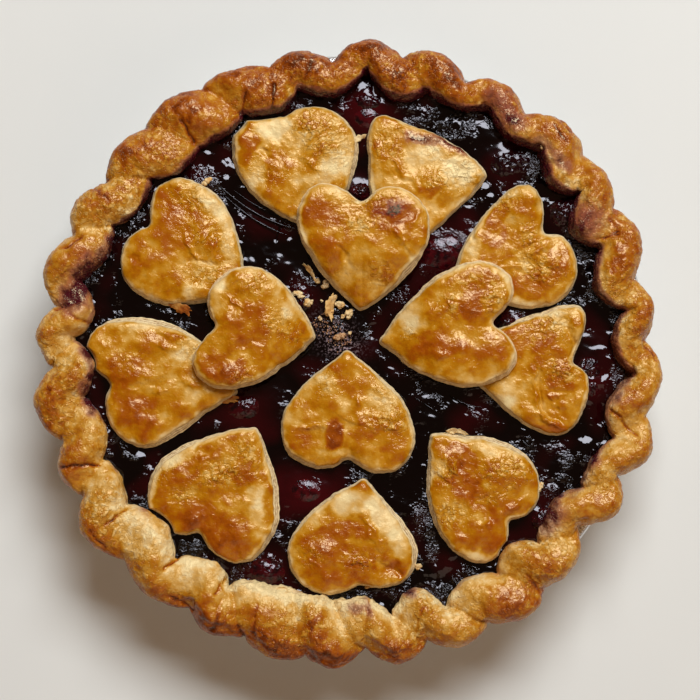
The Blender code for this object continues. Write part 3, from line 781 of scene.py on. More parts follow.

# What baking did to each heart: kind, x, y, half length, half width, turn, strength.
# brown, pale, stain and burn colour the top. swell and dent raise and lower it in millimetres,
# crease and ridge do so along a narrow line, wrinkle crinkles it with a painted highlight on its
# ridges, and flare draws the top's edge in by so many millimetres so that the layered side shows.
MARKS = {
    "far_heart_left": (
        ("brown", -41, 84, 9, 5, 80, 0.36), ("brown", -31, 72, 10, 2, 85, 0.16),
        ("brown", -14, 92, 8, 4, -20, 0.16), ("brown", -18, 92, 4, 3, 0, 0.14),
        ("brown", -22, 70, 12, 6, -40, 0.14), ("pale", -30, 91, 12, 3.5, 0, 0.30),
        ("pale", -30, 87, 5, 3, 0, 0.18), ("pale", -4, 76, 7, 5, 0, 0.34),
        ("pale", -38, 70, 5, 3, 0, 0.22), ("pale", -10, 70, 12, 3, 10, 0.22),
        ("crease", -33.5, 80.5, 4, 1.0, -45, 0.8), ("swell", -31, 83, 3, 3, 0, 0.6),
        ("dent", -26, 88, 6, 4, 30, 0.6), ("swell", -12, 84, 8, 7, 0, 0.5),
        ("wrinkle", -8, 84, 10, 12, 30, 1.0), ("wrinkle", -17, 92, 5, 4, -60, 1.0),
        ("wrinkle", -32, 72, 4, 8, 80, 0.6), ("ridge", -16, 76, 6, 1.2, -35, 0.6),
        ("flare", 3, 80, 12, 5, 90, 1.2), ("flare", -46, 78, 14, 4, 90, 0.6),
    ),
    "far_heart_right": (
        ("stain", 29, 86, 6, 2, 0, 1.0), ("stain", 43, 84, 9, 2.4, -30, 0.9),
        ("brown", 16, 82, 5, 6, 70, 0.14), ("brown", 20, 74, 5, 4, 0, 0.16),
        ("brown", 33, 65, 4.5, 2.2, 0, 0.24), ("pale", 46, 74, 9, 7, 0, 0.32),
        ("pale", 33, 80, 8, 5, 0, 0.14), ("brown", 40, 62, 6, 3, 40, 0.10),
        ("brown", 40, 51, 5, 2, 40, 0.3), ("ridge", 20.5, 73.5, 9, 1.1, -45, 0.8),
        ("crease", 22, 71, 9, 1.0, -45, 0.6), ("ridge", 25, 90, 8, 1.2, -5, 0.6),
        ("wrinkle", 46, 73, 8, 7, 5, 0.9), ("wrinkle", 16, 84, 6, 7, 100, 0.9),
        ("wrinkle", 35, 69, 5, 3, 0, 0.9), ("wrinkle", 34, 83, 6, 3, 100, 0.8),
        ("swell", 34, 68, 5, 4, 0, 0.5), ("flare", 54, 68, 5, 9, 0, 0.8),
    ),
    "far_heart_over": (
        ("burn", 18.5, 56.5, 2.6, 2.4, 0, 1.0), ("burn", 18, 57, 7, 3.4, 10, 0.62),
        ("brown", 18, 55, 9, 7, 0, 0.36), ("brown", 20, 51, 4, 4, 0, 0.14),
        ("brown", -11, 55, 9, 6, 0, 0.26), ("brown", -15, 57, 5, 4, 0, 0.14),
        ("brown", -6, 38, 5, 8, 0, 0.20), ("brown", 26, 47, 5, 4, 0, 0.10),
        ("pale", -8, 66, 9, 3, 5, 0.18), ("pale", 12, 38, 5, 4, 0, 0.16),
        ("crease", -2, 39, 5, 0.8, -63, 0.8), ("ridge", 20.5, 45, 6, 1.0, -48, 0.8),
        ("wrinkle", 8, 61, 8, 4, 0, 1.0), ("wrinkle", 5, 51, 8, 3, 0, 1.0),
        ("wrinkle", 13, 31, 5, 5, 0, 0.6), ("ridge", 27, 52, 4, 1.0, 60, 0.5),
        ("swell", 18, 56, 4, 3, 0, 0.5), ("swell", 6, 46, 9, 6, 0, 0.4),
        ("flare", -10, 36, 8, 5, -50, 2.0), ("flare", 24, 32, 7, 4, 30, 2.0),
    ),
    "left_heart_far": (
        ("brown", -72, 60, 8, 6, -35, 0.26), ("brown", -60, 57, 6, 4, -35, 0.22),
        ("brown", -70, 47, 8, 7, 0, 0.16), ("brown", -86, 38, 3.2, 2.6, 0, 0.26),
        ("brown", -80, 31, 8, 4, -20, 0.12), ("brown", -72, 28, 6, 4, 0, 0.10),
        ("pale", -55, 60, 4, 12, 35, 0.34), ("pale", -48, 42, 4, 8, 5, 0.30),
        ("pale", -63, 25, 5, 3, 0, 0.30), ("pale", -72, 68, 10, 2.5, 0, 0.2),
        ("ridge", -63.5, 42.5, 6, 0.9, -55, 0.9), ("crease", -58, 36, 8, 1.0, 0, 0.8),
        ("ridge", -57, 47, 3, 1.2, 60, 0.8), ("ridge", -54, 41, 3, 1.4, 60, 0.9),
        ("wrinkle", -62, 62, 9, 6, -35, 0.9), ("wrinkle", -57, 31, 8, 5, 10, 0.8),
        ("dent", -86, 38, 3, 2.4, 0, 0.6), ("swell", -64, 25, 5, 3, 0, 0.5),
        ("wrinkle", -55, 45, 4, 9, 70, 1.0), ("flare", -72, 21, 14, 5, -10, 1.3),
    ),
    "left_heart_near": (
        ("brown", -88, -6, 9, 6, 0, 0.14), ("brown", -84, -24, 9, 9, 0, 0.26),
        ("brown", -72, -18, 6, 4, 0, 0.10), ("brown", -92, -14, 4, 12, 10, 0.10),
        ("pale", -82, 11, 12, 3.0, 0, 0.30), ("pale", -65, 1, 6, 8, -35, 0.30),
        ("pale", -61, -18, 5, 4, 0, 0.24), ("ridge", -72.5, 8, 7, 1.0, -20, 0.9),
        ("ridge", -73, 3, 4, 1.0, -15, 0.8), ("crease", -79, -12.5, 9, 1.3, 10, 0.5),
        ("ridge", -75, -16, 3, 1.0, 15, 0.6), ("ridge", -63, -12, 4, 2.0, -30, 0.7),
        ("wrinkle", -88, -4, 7, 4, 0, 0.5), ("wrinkle", -64, 2, 6, 7, 30, 0.6),
        ("swell", -84, -26, 8, 7, 0, 0.7), ("flare", -80, 15, 18, 6, -10, 2.6),
        ("flare", -69, -31, 12, 6, 40, 2.2),
    ),
    "left_heart_over": (
        ("pale", -51, 28, 4, 7, -10, 0.30), ("pale", -41, 34, 8, 3, 0, 0.26),
        ("pale", -22, 17, 6, 5, 0, 0.22), ("brown", -44, 30, 4.5, 3, 10, 0.16),
        ("brown", -40, 20, 7, 7, 0, 0.16), ("brown", -38, 8, 8, 6, 0, 0.16),
        ("brown", -47, -8.5, 8, 3.2, 30, 0.42), ("brown", -53, -6, 5, 6, 0, 0.20),
        ("brown", -40, 3, 5, 2, 10, 0.16), ("ridge", -45.5, 19, 3.5, 0.9, -40, 0.8),
        ("ridge", -40, 17, 4, 0.9, 10, 0.6), ("ridge", -46, 27, 3, 1.2, 60, 0.8),
        ("wrinkle", -37, 27, 5, 4, 20, 1.0), ("wrinkle", -28, 12, 6, 4, 10, 0.9),
        ("wrinkle", -42, -10, 5, 3, 30, 1.2), ("wrinkle", -22, 6, 6, 3, -10, 0.8),
        ("swell", -47, -8, 7, 5, 20, 0.4), ("crease", -40, 3, 6, 1.0, 10, 0.4),
        ("flare", -28, -7, 16, 5, 25, 0.9), ("flare", -50, 30, 8, 6, 60, 1.2),
    ),
    "right_heart_far": (
        ("pale", 70, 64, 8, 3, 0, 0.24), ("pale", 76, 61, 3, 6, 10, 0.22),
        ("brown", 60, 57, 5.5, 4.5, 30, 0.26), ("brown", 58, 48, 5, 6, 0, 0.14),
        ("brown", 64, 45, 6, 7, 0, 0.14), ("brown", 85, 38, 5, 8, 0, 0.14),
        ("brown", 72, 26, 9, 5, 0, 0.28), ("pale", 71, 20, 7, 2.4, 0, 0.22),
        ("pale", 51, 44, 3, 7, 0, 0.24), ("dent", 77.5, 59, 2, 2.4, 0, 0.9),
        ("swell", 73, 61, 4, 4, 0, 0.7), ("ridge", 76, 41, 4, 1.2, 30, 0.9),
        ("ridge", 70.5, 49, 4, 1.6, 20, 0.8), ("ridge", 73, 45, 3, 1.4, 20, 0.8),
        ("ridge", 81, 36, 8, 1.8, -20, 0.9), ("ridge", 68, 34.5, 5, 1.2, -5, 0.8),
        ("ridge", 77, 30, 5, 1.2, -35, 0.7), ("wrinkle", 64, 61, 5, 4, 30, 1.1),
        ("wrinkle", 72, 47, 4, 5, 20, 1.0), ("wrinkle", 80, 35, 9, 4, -20, 1.1),
        ("wrinkle", 76, 31, 6, 3, -35, 1.0), ("crease", 50.5, 47, 4, 0.8, 95, 0.9),
        ("crease", 72, 42.5, 5, 1.2, 30, 0.7), ("flare", 84, 52, 4, 10, 20, 0.6),
    ),
    "right_heart_near": (
        ("pale", 86, 16, 9, 3, -10, 0.26), ("pale", 95, 8, 3, 4, 0, 0.26),
        ("brown", 78, 4, 8, 4, 0, 0.10), ("brown", 85, -12.5, 7, 3, -20, 0.22),
        ("brown", 82, -31, 10, 2.6, 0, 0.30), ("pale", 63, -16, 6, 6, -40, 0.30),
        ("pale", 66, -22, 6, 3, -40, 0.24), ("brown", 84, -22, 4, 5, 20, 0.12),
        ("dent", 82, -20, 6, 7.5, 20, 1.4), ("ridge", 80.5, -27, 7, 1.5, -25, 0.9),
        ("ridge", 83, -17.3, 3, 1.0, -15, 0.8), ("ridge", 84.5, -21, 3, 1.2, -20, 0.8),
        ("crease", 91, 3, 4, 1.2, 80, 1.1), ("crease", 89.5, 8.5, 4.5, 1.3, -65, 1.0),
        ("swell", 94, 9, 4, 5, 10, 0.8), ("wrinkle", 80, 11, 8, 6, 20, 1.2),
        ("wrinkle", 87, -7, 8, 4, 0, 1.3), ("ridge", 86, -6, 7, 2.0, 5, 0.8),
        ("ridge", 94, -18, 1.4, 6, 0, 0.4), ("crease", 76.4, -12, 5.5, 1.1, 92, 1.0),
        ("crease", 77.6, -20.5, 4.5, 1.1, 110, 1.1), ("crease", 82, -26, 4.5, 1.1, -32, 1.1),
        ("ridge", 74.8, -12, 5.5, 0.9, 92, 0.7), ("ridge", 76.0, -21.5, 4.5, 0.9, 110, 0.8),
        ("ridge", 81, -28.2, 5, 0.9, -32, 0.9), ("swell", 82, -14, 2.4, 2.2, 0, 0.9),
        ("flare", 72, 12, 12, 5, 35, 1.8),
        ("flare", 84, 20, 10, 4, -10, 1.2), ("flare", 66, -20, 12, 5, -42, 0.8),
    ),
    "right_heart_over": (
        ("brown", 52, 28, 12, 5, 0, 0.16), ("brown", 49, 19, 4, 7, 0, 0.30),
        ("brown", 37, 4, 8, 6, 0, 0.34), ("brown", 29, 0, 5, 3, 20, 0.22),
        ("brown", 60, 2, 6, 6, 0, 0.16), ("brown", 61, -1, 3, 2.4, 0, 0.16),
        ("pale", 26, 15, 6, 7, 0, 0.32), ("brown", 22, 4, 3, 3, 0, 0.12),
        ("pale", 46, -11, 6, 2.4, -10, 0.18), ("brown", 45, 0, 5, 4, 0, 0.12),
        ("ridge", 58, 22, 6, 1.6, 5, 0.9), ("ridge", 57, 18, 3, 1.8, 0, 0.8),
        ("ridge", 41.5, 18.5, 3, 2.0, 0, 0.8), ("wrinkle", 58, 20, 6, 4, 10, 1.1),
        ("wrinkle", 41, 19, 4, 4, 0, 1.1), ("wrinkle", 51, 28, 9, 4, 0, 0.6),
        ("swell", 38, -1.5, 3, 1.6, 10, 0.7), ("swell", 46, 1, 2.4, 1.8, 0, 0.5),
        ("wrinkle", 25, 8, 3, 3, 0, 0.8), ("swell", 61, -6, 3, 3, 0, 0.5),
        ("crease", 31, 28, 5, 0.8, 30, 0.9), ("ridge", 57, 10.5, 2, 1.0, -55, 0.8),
        ("crease", 63, -7, 6, 0.8, 50, 0.6), ("flare", 33, 30, 11, 6, 30, 1.6),
        ("flare", 63, -8, 9, 5, 50, 1.0), ("flare", 60, 30, 8, 6, -30, 1.2),
    ),
    "near_heart_inner": (
        ("brown", -5.5, -33, 3.6, 5.5, -12, 0.75), ("brown", -20, -35, 6, 5, 0, 0.18),
        ("brown", 15, -35, 8, 5, 0, 0.14), ("brown", 18, -41, 6, 4, 0, 0.08),
        ("brown", 5, -32, 4, 3, 0, 0.18), ("brown", 0, -15, 5, 4, 0, 0.08),
        ("pale", -20, -28, 5, 3, 0, 0.16), ("pale", -8, -11, 4, 6, 30, 0.20),
        ("pale", 12, -20, 7, 3.5, -30, 0.26), ("pale", -2, -20, 4, 4, 0, 0.16),
        ("pale", 17, -17, 9, 3, -40, 0.22), ("pale", -2, -41, 4, 2, 0, 0.22),
        ("ridge", -16, -30, 4, 1.1, 15, 0.9), ("ridge", -11, -29.5, 3, 1.1, -15, 0.8),
        ("ridge", 2.5, -27.5, 6, 1.0, -25, 0.5), ("crease", 3.5, -29, 6, 1.2, -25, 0.3),
        ("ridge", 17.5, -26, 4, 1.4, 0, 0.7), ("ridge", 18, -30, 7, 1.4, 0, 0.7),
        ("wrinkle", 17, -28, 8, 4, 0, 1.1), ("wrinkle", -8, -12, 4, 5, 20, 0.7),
        ("swell", 4, -19.5, 2, 2, 0, 0.7), ("wrinkle", 15, -18, 8, 3, -40, 0.7),
        ("flare", -16, -44, 14, 4, 0, 1.4), ("flare", 17, -14, 10, 5, -45, 0.7),
    ),
    "near_heart_left": (
        ("brown", -56, -70, 12, 8, -35, 0.30), ("brown", -45, -79, 6, 6, 0, 0.22),
        ("brown", -62, -66, 6, 4, 0, 0.14), ("brown", -76, -61, 4, 6, 0, 0.16),
        ("brown", -65, -47, 6, 4, 20, 0.16), ("brown", -42, -44, 4, 4, 0, 0.16),
        ("brown", -43, -49, 4.5, 3, 20, 0.20), ("pale", -70, -43, 12, 3.6, 36, 0.34),
        ("pale", -78, -52, 3, 5, 0, 0.26), ("pale", -36, -58, 4, 6, 0, 0.34),
        ("pale", -36, -68, 4, 9, 0, 0.30), ("pale", -50, -42, 6, 3, 20, 0.10),
        ("brown", -38, -31, 3, 3, 0, 0.12), ("ridge", -57, -44, 5, 1.3, 10, 0.8),
        ("ridge", -48, -47.5, 4, 1.6, 0, 0.9), ("ridge", -54, -50, 4, 1.4, 0, 0.8),
        ("wrinkle", -50, -49, 9, 4, 5, 1.3), ("wrinkle", -41, -41, 4, 6, 60, 0.8),
        ("wrinkle", -66, -57, 4, 3, 0, 0.8), ("dent", -60, -58, 8, 5, 0, 0.4),
        ("wrinkle", -74, -48, 6, 3, 40, 0.7), ("swell", -50, -70, 10, 8, 0, 0.4),
        ("flare", -70, -42, 16, 6, 36, 2.2), ("flare", -30, -60, 18, 6, 90, 2.4),
    ),
    "near_heart_middle": (
        ("pale", 3, -60, 14, 6, 0, 0.36), ("pale", 14, -68, 10, 5, -50, 0.34),
        ("pale", 21, -78, 8, 4, -60, 0.28), ("pale", -14, -68, 6, 4, 50, 0.20),
        ("brown", -3, -72, 9, 3.5, 0, 0.30), ("brown", -5, -78, 8, 3, -10, 0.18),
        ("brown", -16, -78, 5, 6, 0, 0.12), ("brown", -5, -90, 12, 3, 0, 0.22),
        ("brown", 20, -87, 4, 4, 0, 0.34), ("brown", 12, -84, 6, 4, -40, 0.14),
        ("stain", 13, -64, 5, 4, 40, 0.10), ("crease", 15, -86, 9, 1.4, -30, 1.0),
        ("dent", 20, -88, 6, 5, 0, 1.6), ("ridge", 10, -72, 9, 1.3, -60, 0.8),
        ("ridge", 5.5, -84, 4, 1.2, 10, 0.8), ("ridge", -13, -84, 3, 1.2, -45, 0.6),
        ("wrinkle", 5, -84, 5, 3, 10, 1.2), ("wrinkle", -14, -80, 4, 6, -60, 0.7),
        ("swell", 2, -81, 8, 5, 0, 0.5), ("dent", -5, -75, 8, 2.5, -10, 0.6),
        ("flare", 25, -76, 14, 6, -60, 3.0), ("flare", -15, -65, 10, 5, 40, 0.8),
    ),
    "near_heart_right": (
        ("pale", 56, -38, 20, 3, -15, 0.30), ("brown", 45, -41, 7, 5, -45, 0.24),
        ("brown", 47, -51, 6, 8, 20, 0.26), ("brown", 54, -60, 10, 4, -60, 0.24),
        ("pale", 65, -47, 7, 4.5, -10, 0.16), ("pale", 36, -46, 3, 5, 0, 0.24),
        ("brown", 50, -73, 8, 5, 0, 0.16), ("brown", 61, -73, 5, 6, 0, 0.16),
        ("brown", 58, -79, 4, 4, 0, 0.24), ("pale", 50, -81, 9, 2.4, 0, 0.36),
        ("dent", 52, -58, 12, 3.5, -58, 0.9), ("ridge", 41, -44, 4, 1.0, -45, 1.0),
        ("ridge", 43, -47, 4, 1.0, -45, 1.0), ("ridge", 39, -49, 4, 1.0, -45, 0.9),
        ("wrinkle", 41, -47, 5, 5, -45, 1.2), ("wrinkle", 65, -47, 8, 4, -10, 1.2),
        ("ridge", 67, -62, 6, 1.6, 30, 1.1), ("wrinkle", 41, -65, 4, 5, 90, 1.3),
        ("ridge", 55, -69, 3, 1.2, -20, 0.8), ("wrinkle", 56, -50, 4, 3, -10, 0.9),
        ("swell", 64, -50, 9, 6, 0, 0.7), ("wrinkle", 60, -57, 8, 2, 20, 0.6),
        ("flare", 58, -35, 24, 5, -15, 1.6), ("flare", 33, -60, 22, 5, 100, 1.0),
    ),
}


def soften(line, reach):
    """A closed line of values, each replaced by a bell-weighted mean of reach neighbours."""
    offsets = np.arange(-reach, reach + 1)
    weights = np.cos(offsets / (reach + 1) * math.pi / 2) ** 2
    moved = [np.roll(line, offset, axis=0) * weight for offset, weight in zip(offsets, weights)]
    return sum(moved) / weights.sum()


def heart_outline(turn, width, length, lean, uneven_lobes, bend, notch):
    """Closed outline of a heart about its middle, anticlockwise, and its place along the length.

    A circle is drawn out to a tip at one end and pushed in at the other, each by a share that
    fades away exponentially along the outline. It is then scaled, leaned and bent.
    """
    way = np.linspace(-1, 1, HEART_AROUND, endpoint=False)
    from_notch = np.abs(way)
    pushed_in = notch * np.exp(-from_notch / 0.16)
    drawn_out = HEART_TIP * np.exp(-(1 - from_notch) / 0.22)
    across = np.sin(math.pi * way) / 2
    along = (np.cos(math.pi * way) - pushed_in - drawn_out) / HEART_LENGTH
    along = along * (1 + uneven_lobes * across)
    side = across * width + lean * along * length + bend * along**2 * length
    angle = math.radians(turn + 90)
    x = side * math.cos(angle) - along * length * math.sin(angle)
    y = side * math.sin(angle) + along * length * math.cos(angle)
    return soften(np.stack([x, y], axis=-1)[::-1], 5), soften(along[::-1], 5)


def heart_climb(along):
    """Height in millimetres that a heart lying on its neighbours has climbed along its length."""
    tip_end = (1 + HEART_TIP) / HEART_LENGTH
    part = np.clip((along + tip_end) / (HEART_LIFT_END + tip_end), 0, 1)
    return HEART_LIFT * part * part * (3 - 2 * part)


def crinkled(points, turn, size, seed):
    """Sharp little ridges, 0 to 1, drawn out along a direction."""
    angle = math.radians(turn)
    along = points[..., 0] * math.cos(angle) + points[..., 1] * math.sin(angle)
    across = points[..., 1] * math.cos(angle) - points[..., 0] * math.sin(angle)
    drawn = np.stack([along / 2.6, across, np.zeros_like(along)], axis=-1)
    return 1 - np.minimum(1, 2.2 * np.abs(uneven(drawn, size, seed)))


def heart_body(number, row, marks):
    """Rings, poles and masks of one heart.

    The rings run from under the middle out to the cut edge, up the layered side, over the rim and
    in to the middle of the top. Height on top is a dome, plus noise, plus the heart's own marks.
    """
    name, x, y, turn, width, length, lean, lobes, bend, notch, over, browning_and_sheen = row
    seed = 100 + 20 * number
    edge, along = heart_outline(turn, width, length, lean, lobes, bend, notch)
    edge = edge + (x, y)
    flat = np.column_stack([edge, np.zeros(len(edge))]) * MM
    ragged = 0.50 * uneven(flat, 9 * MM, seed) + 0.28 * uneven(flat, 2.6 * MM, seed + 1)
    direction = np.roll(edge, -1, axis=0) - np.roll(edge, 1, axis=0)
    direction /= np.linalg.norm(direction, axis=1, keepdims=True)
    inward = soften(np.column_stack([-direction[:, 1], direction[:, 0]]), 3)
    edge = edge + inward * ragged[:, None]
    angles = np.arctan2(edge[:, 1], edge[:, 0])
    limit = crust_edges(angles)[1] / MM - 0.9
    edge = edge * np.minimum(1, limit / np.hypot(edge[:, 0], edge[:, 1]))[:, None]
    flare = sum(m[6] * bell(flat, *m[1:6]) for m in marks if m[0] == "flare")
    inset = soften(0.7 + 0.75 * flare + 0.45 * uneven(flat, 5 * MM, seed + 2), 3)
    top_edge = edge + inward * inset[:, None]
    middle = edge.mean(axis=0)
    middle_along = along.mean()

    def climbed(size):
        return heart_climb(middle_along + (along - middle_along) * size) * over

    places, heights, ups = [], [], []
    for size in (0.25, 0.6, 0.9, 0.985):
        places.append(middle + (edge - middle) * size)
        heights.append(HEART_BED + climbed(size))
        ups.append(0.0)
    layer_shift = 0.35 * uneven(flat, 12 * MM, seed + 3) + 0.25 * uneven(flat, 3 * MM, seed + 16)
    grooves = []
    for up in np.linspace(0.02, 1, 16):
        grooves.append((2 * np.abs(((up * 3 + layer_shift) % 1) - 0.5)) ** 3)
        drawn = inset * up**0.9 + 0.45 * grooves[-1]
        places.append(edge + inward * drawn[:, None])
        heights.append(HEART_BED + climbed(1.0) + (HEART_SIDE - 0.9) * up)
        ups.append(up)
    for size in 1 - np.linspace(0.0, 0.985, 54)[1:] ** 1.15:
        inside = (1 - size) * np.linalg.norm(top_edge - middle, axis=1)
        rim = HEART_SIDE - 0.9 + 0.9 * (1 - np.exp(-inside / 0.55))
        dome = HEART_CROWN * (1 - np.exp(-inside / 3.5))
        places.append(middle + (top_edge - middle) * size)
        heights.append(HEART_BED + climbed(size) + rim + dome)
        ups.append(2 - size)
    rings = np.concatenate([np.stack(places), np.stack(heights)[..., None]], axis=-1) * MM
    ups = np.array(ups)[:, None]
    reach = np.linalg.norm(top_edge - middle, axis=1)
    inside = np.clip(ups - 1, 0, 1) * reach

    level = rings * (1, 1, 0)
    strayed = [
        1.8 * uneven(level, 6 * MM, seed + turn) + 0.7 * uneven(level, 1.8 * MM, seed + turn + 2)
        for turn in (4, 5)
    ]
    strayed = level + np.stack([*strayed, np.zeros(rings.shape[:2])], -1) * MM
    bumps = 0.85 * uneven(level, 13 * MM, seed + 6) + 0.42 * uneven(level, 6 * MM, seed + 7)
    bumps += 0.12 * uneven(level, 2.6 * MM, seed + 9)
    tan_and_highlight = np.zeros(rings.shape[:2])
    masks = {name: np.zeros_like(tan_and_highlight) for name in ("juice", "char", "wrinkled")}
    for index, (kind, *where, strength) in enumerate(marks):
        amount = strength * bell(strayed, *where)
        if kind in ("brown", "pale"):
            edged = np.clip((amount / strength - 0.16) / (0.42 if kind == "brown" else 0.62), 0, 1)
            crisp = strength * edged * edged * (3 - 2 * edged)
            tan_and_highlight += crisp if kind == "brown" else -0.85 * crisp
        elif kind == "stain":
            masks["juice"] += amount
        elif kind == "burn":
            masks["char"] += amount
        elif kind in ("swell", "ridge"):
            bumps += amount
        elif kind in ("dent", "crease"):
            bumps -= amount
        elif kind == "wrinkle":
            # Crinkles; their ridges are drawn paler as a painted highlight.
            folded = amount * crinkled(level, where[4], 2.1 * MM, seed + 40 + index) ** 1.6
            bumps += 0.46 * folded
            tan_and_highlight -= 0.13 * folded
            masks["wrinkled"] += amount
    rim_width = 0.9 + 1.8 * uneven(level, 14 * MM, seed + 12) + 0.9 * uneven(level, 3 * MM, seed + 13)
    pale_rim = 0.5 - 0.5 * np.tanh((inside - np.maximum(rim_width, 0.25)) / 0.5)
    bumps -= 0.30 * pale_rim
    on_top = np.clip(ups, 0, 1) ** 3 * (0.35 + 0.65 * (1 - np.exp(-inside / 1.2)))
    rings[..., 2] += bumps * on_top * MM
    covered = np.full(rings.shape[:2], 50.4)
    for other in () if over else [row for row in HEARTS if row[10]]:
        beyond = np.hypot(rings[..., 0] / MM - other[1], rings[..., 1] / MM - other[2]) - 28
        covered = np.minimum(covered, 42.9 + np.clip(beyond, 0, 5))
    rings[..., 2] = np.minimum(rings[..., 2], covered * MM)
    # The far hearts' paler tops are partly a painted sheen.
    bake = 0.47 + browning_and_sheen + 0.17 * uneven(level, 11 * MM, seed + 10)
    bake += 0.08 * uneven(level, 4 * MM, seed + 15)
    bake += tan_and_highlight * np.where(tan_and_highlight > 0, 0.78, 1.0)
    bake += (0.16 + 0.14 * uneven(level, 4 * MM, seed + 14) - bake) * 0.8 * pale_rim
    bake += 0.12 * np.clip(bumps, -1, 1)
    bake = np.minimum(bake, 0.62 + 0.45 * (bake - 0.62))
    masks["bake"] = np.where(ups <= 1.0, 0.10, bake)
    masks["up"] = np.broadcast_to(np.minimum(ups, 1.0), tan_and_highlight.shape)
    masks["groove"] = np.zeros_like(tan_and_highlight)
    masks["groove"][4:20] = grooves
    masks["char"] = np.clip(masks["char"] * (1 + 0.5 * uneven(level, 2 * MM, seed + 11)), 0, 1)
    first = np.append(middle * MM, rings[0, :, 2].mean())
    return (rings, first, rings[-1].mean(axis=0)), masks


puff, tree, shader, surface = pastry_material("puff pastry", 0.17, 0.09, 0.34 * MM, 1.0)
up = attribute(tree, "up")
place = put(tree, "ShaderNodeTexCoord").outputs["Object"]
# The cut side: pale layers with painted shade in the grooves between them.
layered = calc(tree, "ADD", attribute(tree, "groove"), fit(tree, grain(tree, place, 1.6 * MM), 0.4, 0.7, 0, 0.4))
layers_and_gap_shade = mix(tree, layered, colour(250, 226, 178), colour(136, 88, 40))
on_side = fit(tree, up, 0.90, 0.99, 1.0, 0.0)
shade = mix(tree, on_side, surface.outputs["Colour"], layers_and_gap_shade)
tree.links.new(shade, shader.inputs["Base Color"])
for number, row in enumerate(HEARTS):
    body, masks = heart_body(number, row, MARKS[row[0]])
    heart = skin("puffed_" + row[0], [body], {name: [mask] for name, mask in masks.items()})
    heart.data.materials.append(puff)
    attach(heart, "root")
    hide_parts(row[0])

# ---------------------------------------------------------------------------------------------
# Crumbs. Bits of puff pastry that broke from the cut edges and lie on the jelly, some soaked
# pink by it, with grains of dried sugary foam about them where the hearts' tips meet.
# ---------------------------------------------------------------------------------------------
CRUMBS = (
    # x, y, height of the middle, half length, half width, half height, turn, bake, juice
    (-12.1, 29.1, 37.2, 1.4, 0.9, 0.8, 10, 0.06, 0.0), (-9.5, 27.2, 37.6, 2.1, 1.0, 1.2, 80, 0.04, 0.16),
    (-19.8, 23.2, 37.4, 2.1, 1.1, 0.9, 0, 0.02, 0.04), (-16.1, 20.6, 38.2, 2.1, 1.8, 1.7, 60, 0.10, 0.0),
    (-7.6, 16.2, 37.6, 1.6, 1.5, 1.1, 30, 0.14, 0.0), (-3.1, 19.5, 37.6, 1.7, 1.5, 1.2, 0, 0.06, 0.04),
    (0.2, 15.6, 37.5, 2.0, 1.7, 1.2, 70, 0.02, 0.06), (-1.8, 14.6, 37.0, 0.9, 0.8, 0.7, 0, 0.05, 0.0),
    (-10.5, 20.9, 37.0, 0.6, 0.5, 0.5, 0, 0.06, 0.0), (-3.1, 7.1, 37.0, 2.6, 0.9, 0.8, 25, 0.10, 0.30),
    (0.8, 7.9, 36.9, 0.8, 0.7, 0.6, 0, 0.02, 0.1), (-11.2, 14.0, 36.9, 1.0, 0.7, 0.6, 40, 0.02, 0.2),
    (-57, 69, 37.3, 1.8, 1.2, 1.0, 20, 0.12, 0.0), (28.5, -86, 37.2, 1.6, 1.2, 1.0, 0, 0.10, 0.0),
    (76, -54, 37.4, 2.6, 1.8, 1.4, 30, 0.06, 0.06), (41, -33, 37.2, 1.8, 0.9, 0.8, 10, 0.08, 0.0),
    (44.5, -34.2, 37.1, 1.2, 0.8, 0.7, 50, 0.10, 0.0), (9, -94, 37.3, 2.0, 0.8, 0.6, 15, 0.14, 0.0),
)
GRAINS = 130
crumb_bodies, crumb_bake, crumb_juice = [], [], []
crumb_random = np.random.default_rng(71)
for number, (x, y, z, length, width, height, turn, bake, juice) in enumerate(CRUMBS):
    for bit in range(5):
        shift = crumb_random.uniform(-0.5, 0.5, 3) * (length, length, height)
        size = crumb_random.uniform(0.4, 0.75)
        sizes = (length * size, width * size, height * size)
        seed = 300 + 5 * number + bit
        body = lump(x + shift[0], y + shift[1], z + shift[2], sizes, turn, length * 0.30, 32, 16, seed)
        crumb_bodies.append(body)
        crumb_bake.append(bake + 0.16 * uneven(body[0], 1.2 * MM, seed))
        crumb_juice.append(np.full((16, 32), juice))
for number in range(GRAINS):
    along, across = crumb_random.uniform(-1, 1), crumb_random.normal(0, 1)
    x = -6.2 + 6.5 * along + 1.6 * across
    y = 8.6 - 5.4 * along + 1.9 * across
    size = crumb_random.uniform(0.14, 0.32)
    crumb_bodies.append(lump(x, y, 36.3, (size, size, size), 0, 0.1, 8, 4, 400 + number % 9))
    crumb_bake.append(np.full((4, 8), 0.02))
    crumb_juice.append(np.full((4, 8), crumb_random.uniform(0.3, 0.7)))
crumbs = skin("pastry_crumbs", crumb_bodies, {"bake": crumb_bake, "juice": crumb_juice})
crumb_pastry, tree, shader, surface = pastry_material("crumb pastry", 0.30, 0.60, 0.40 * MM, 0.0)
crumbs.data.materials.append(crumb_pastry)
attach(crumbs, "root")

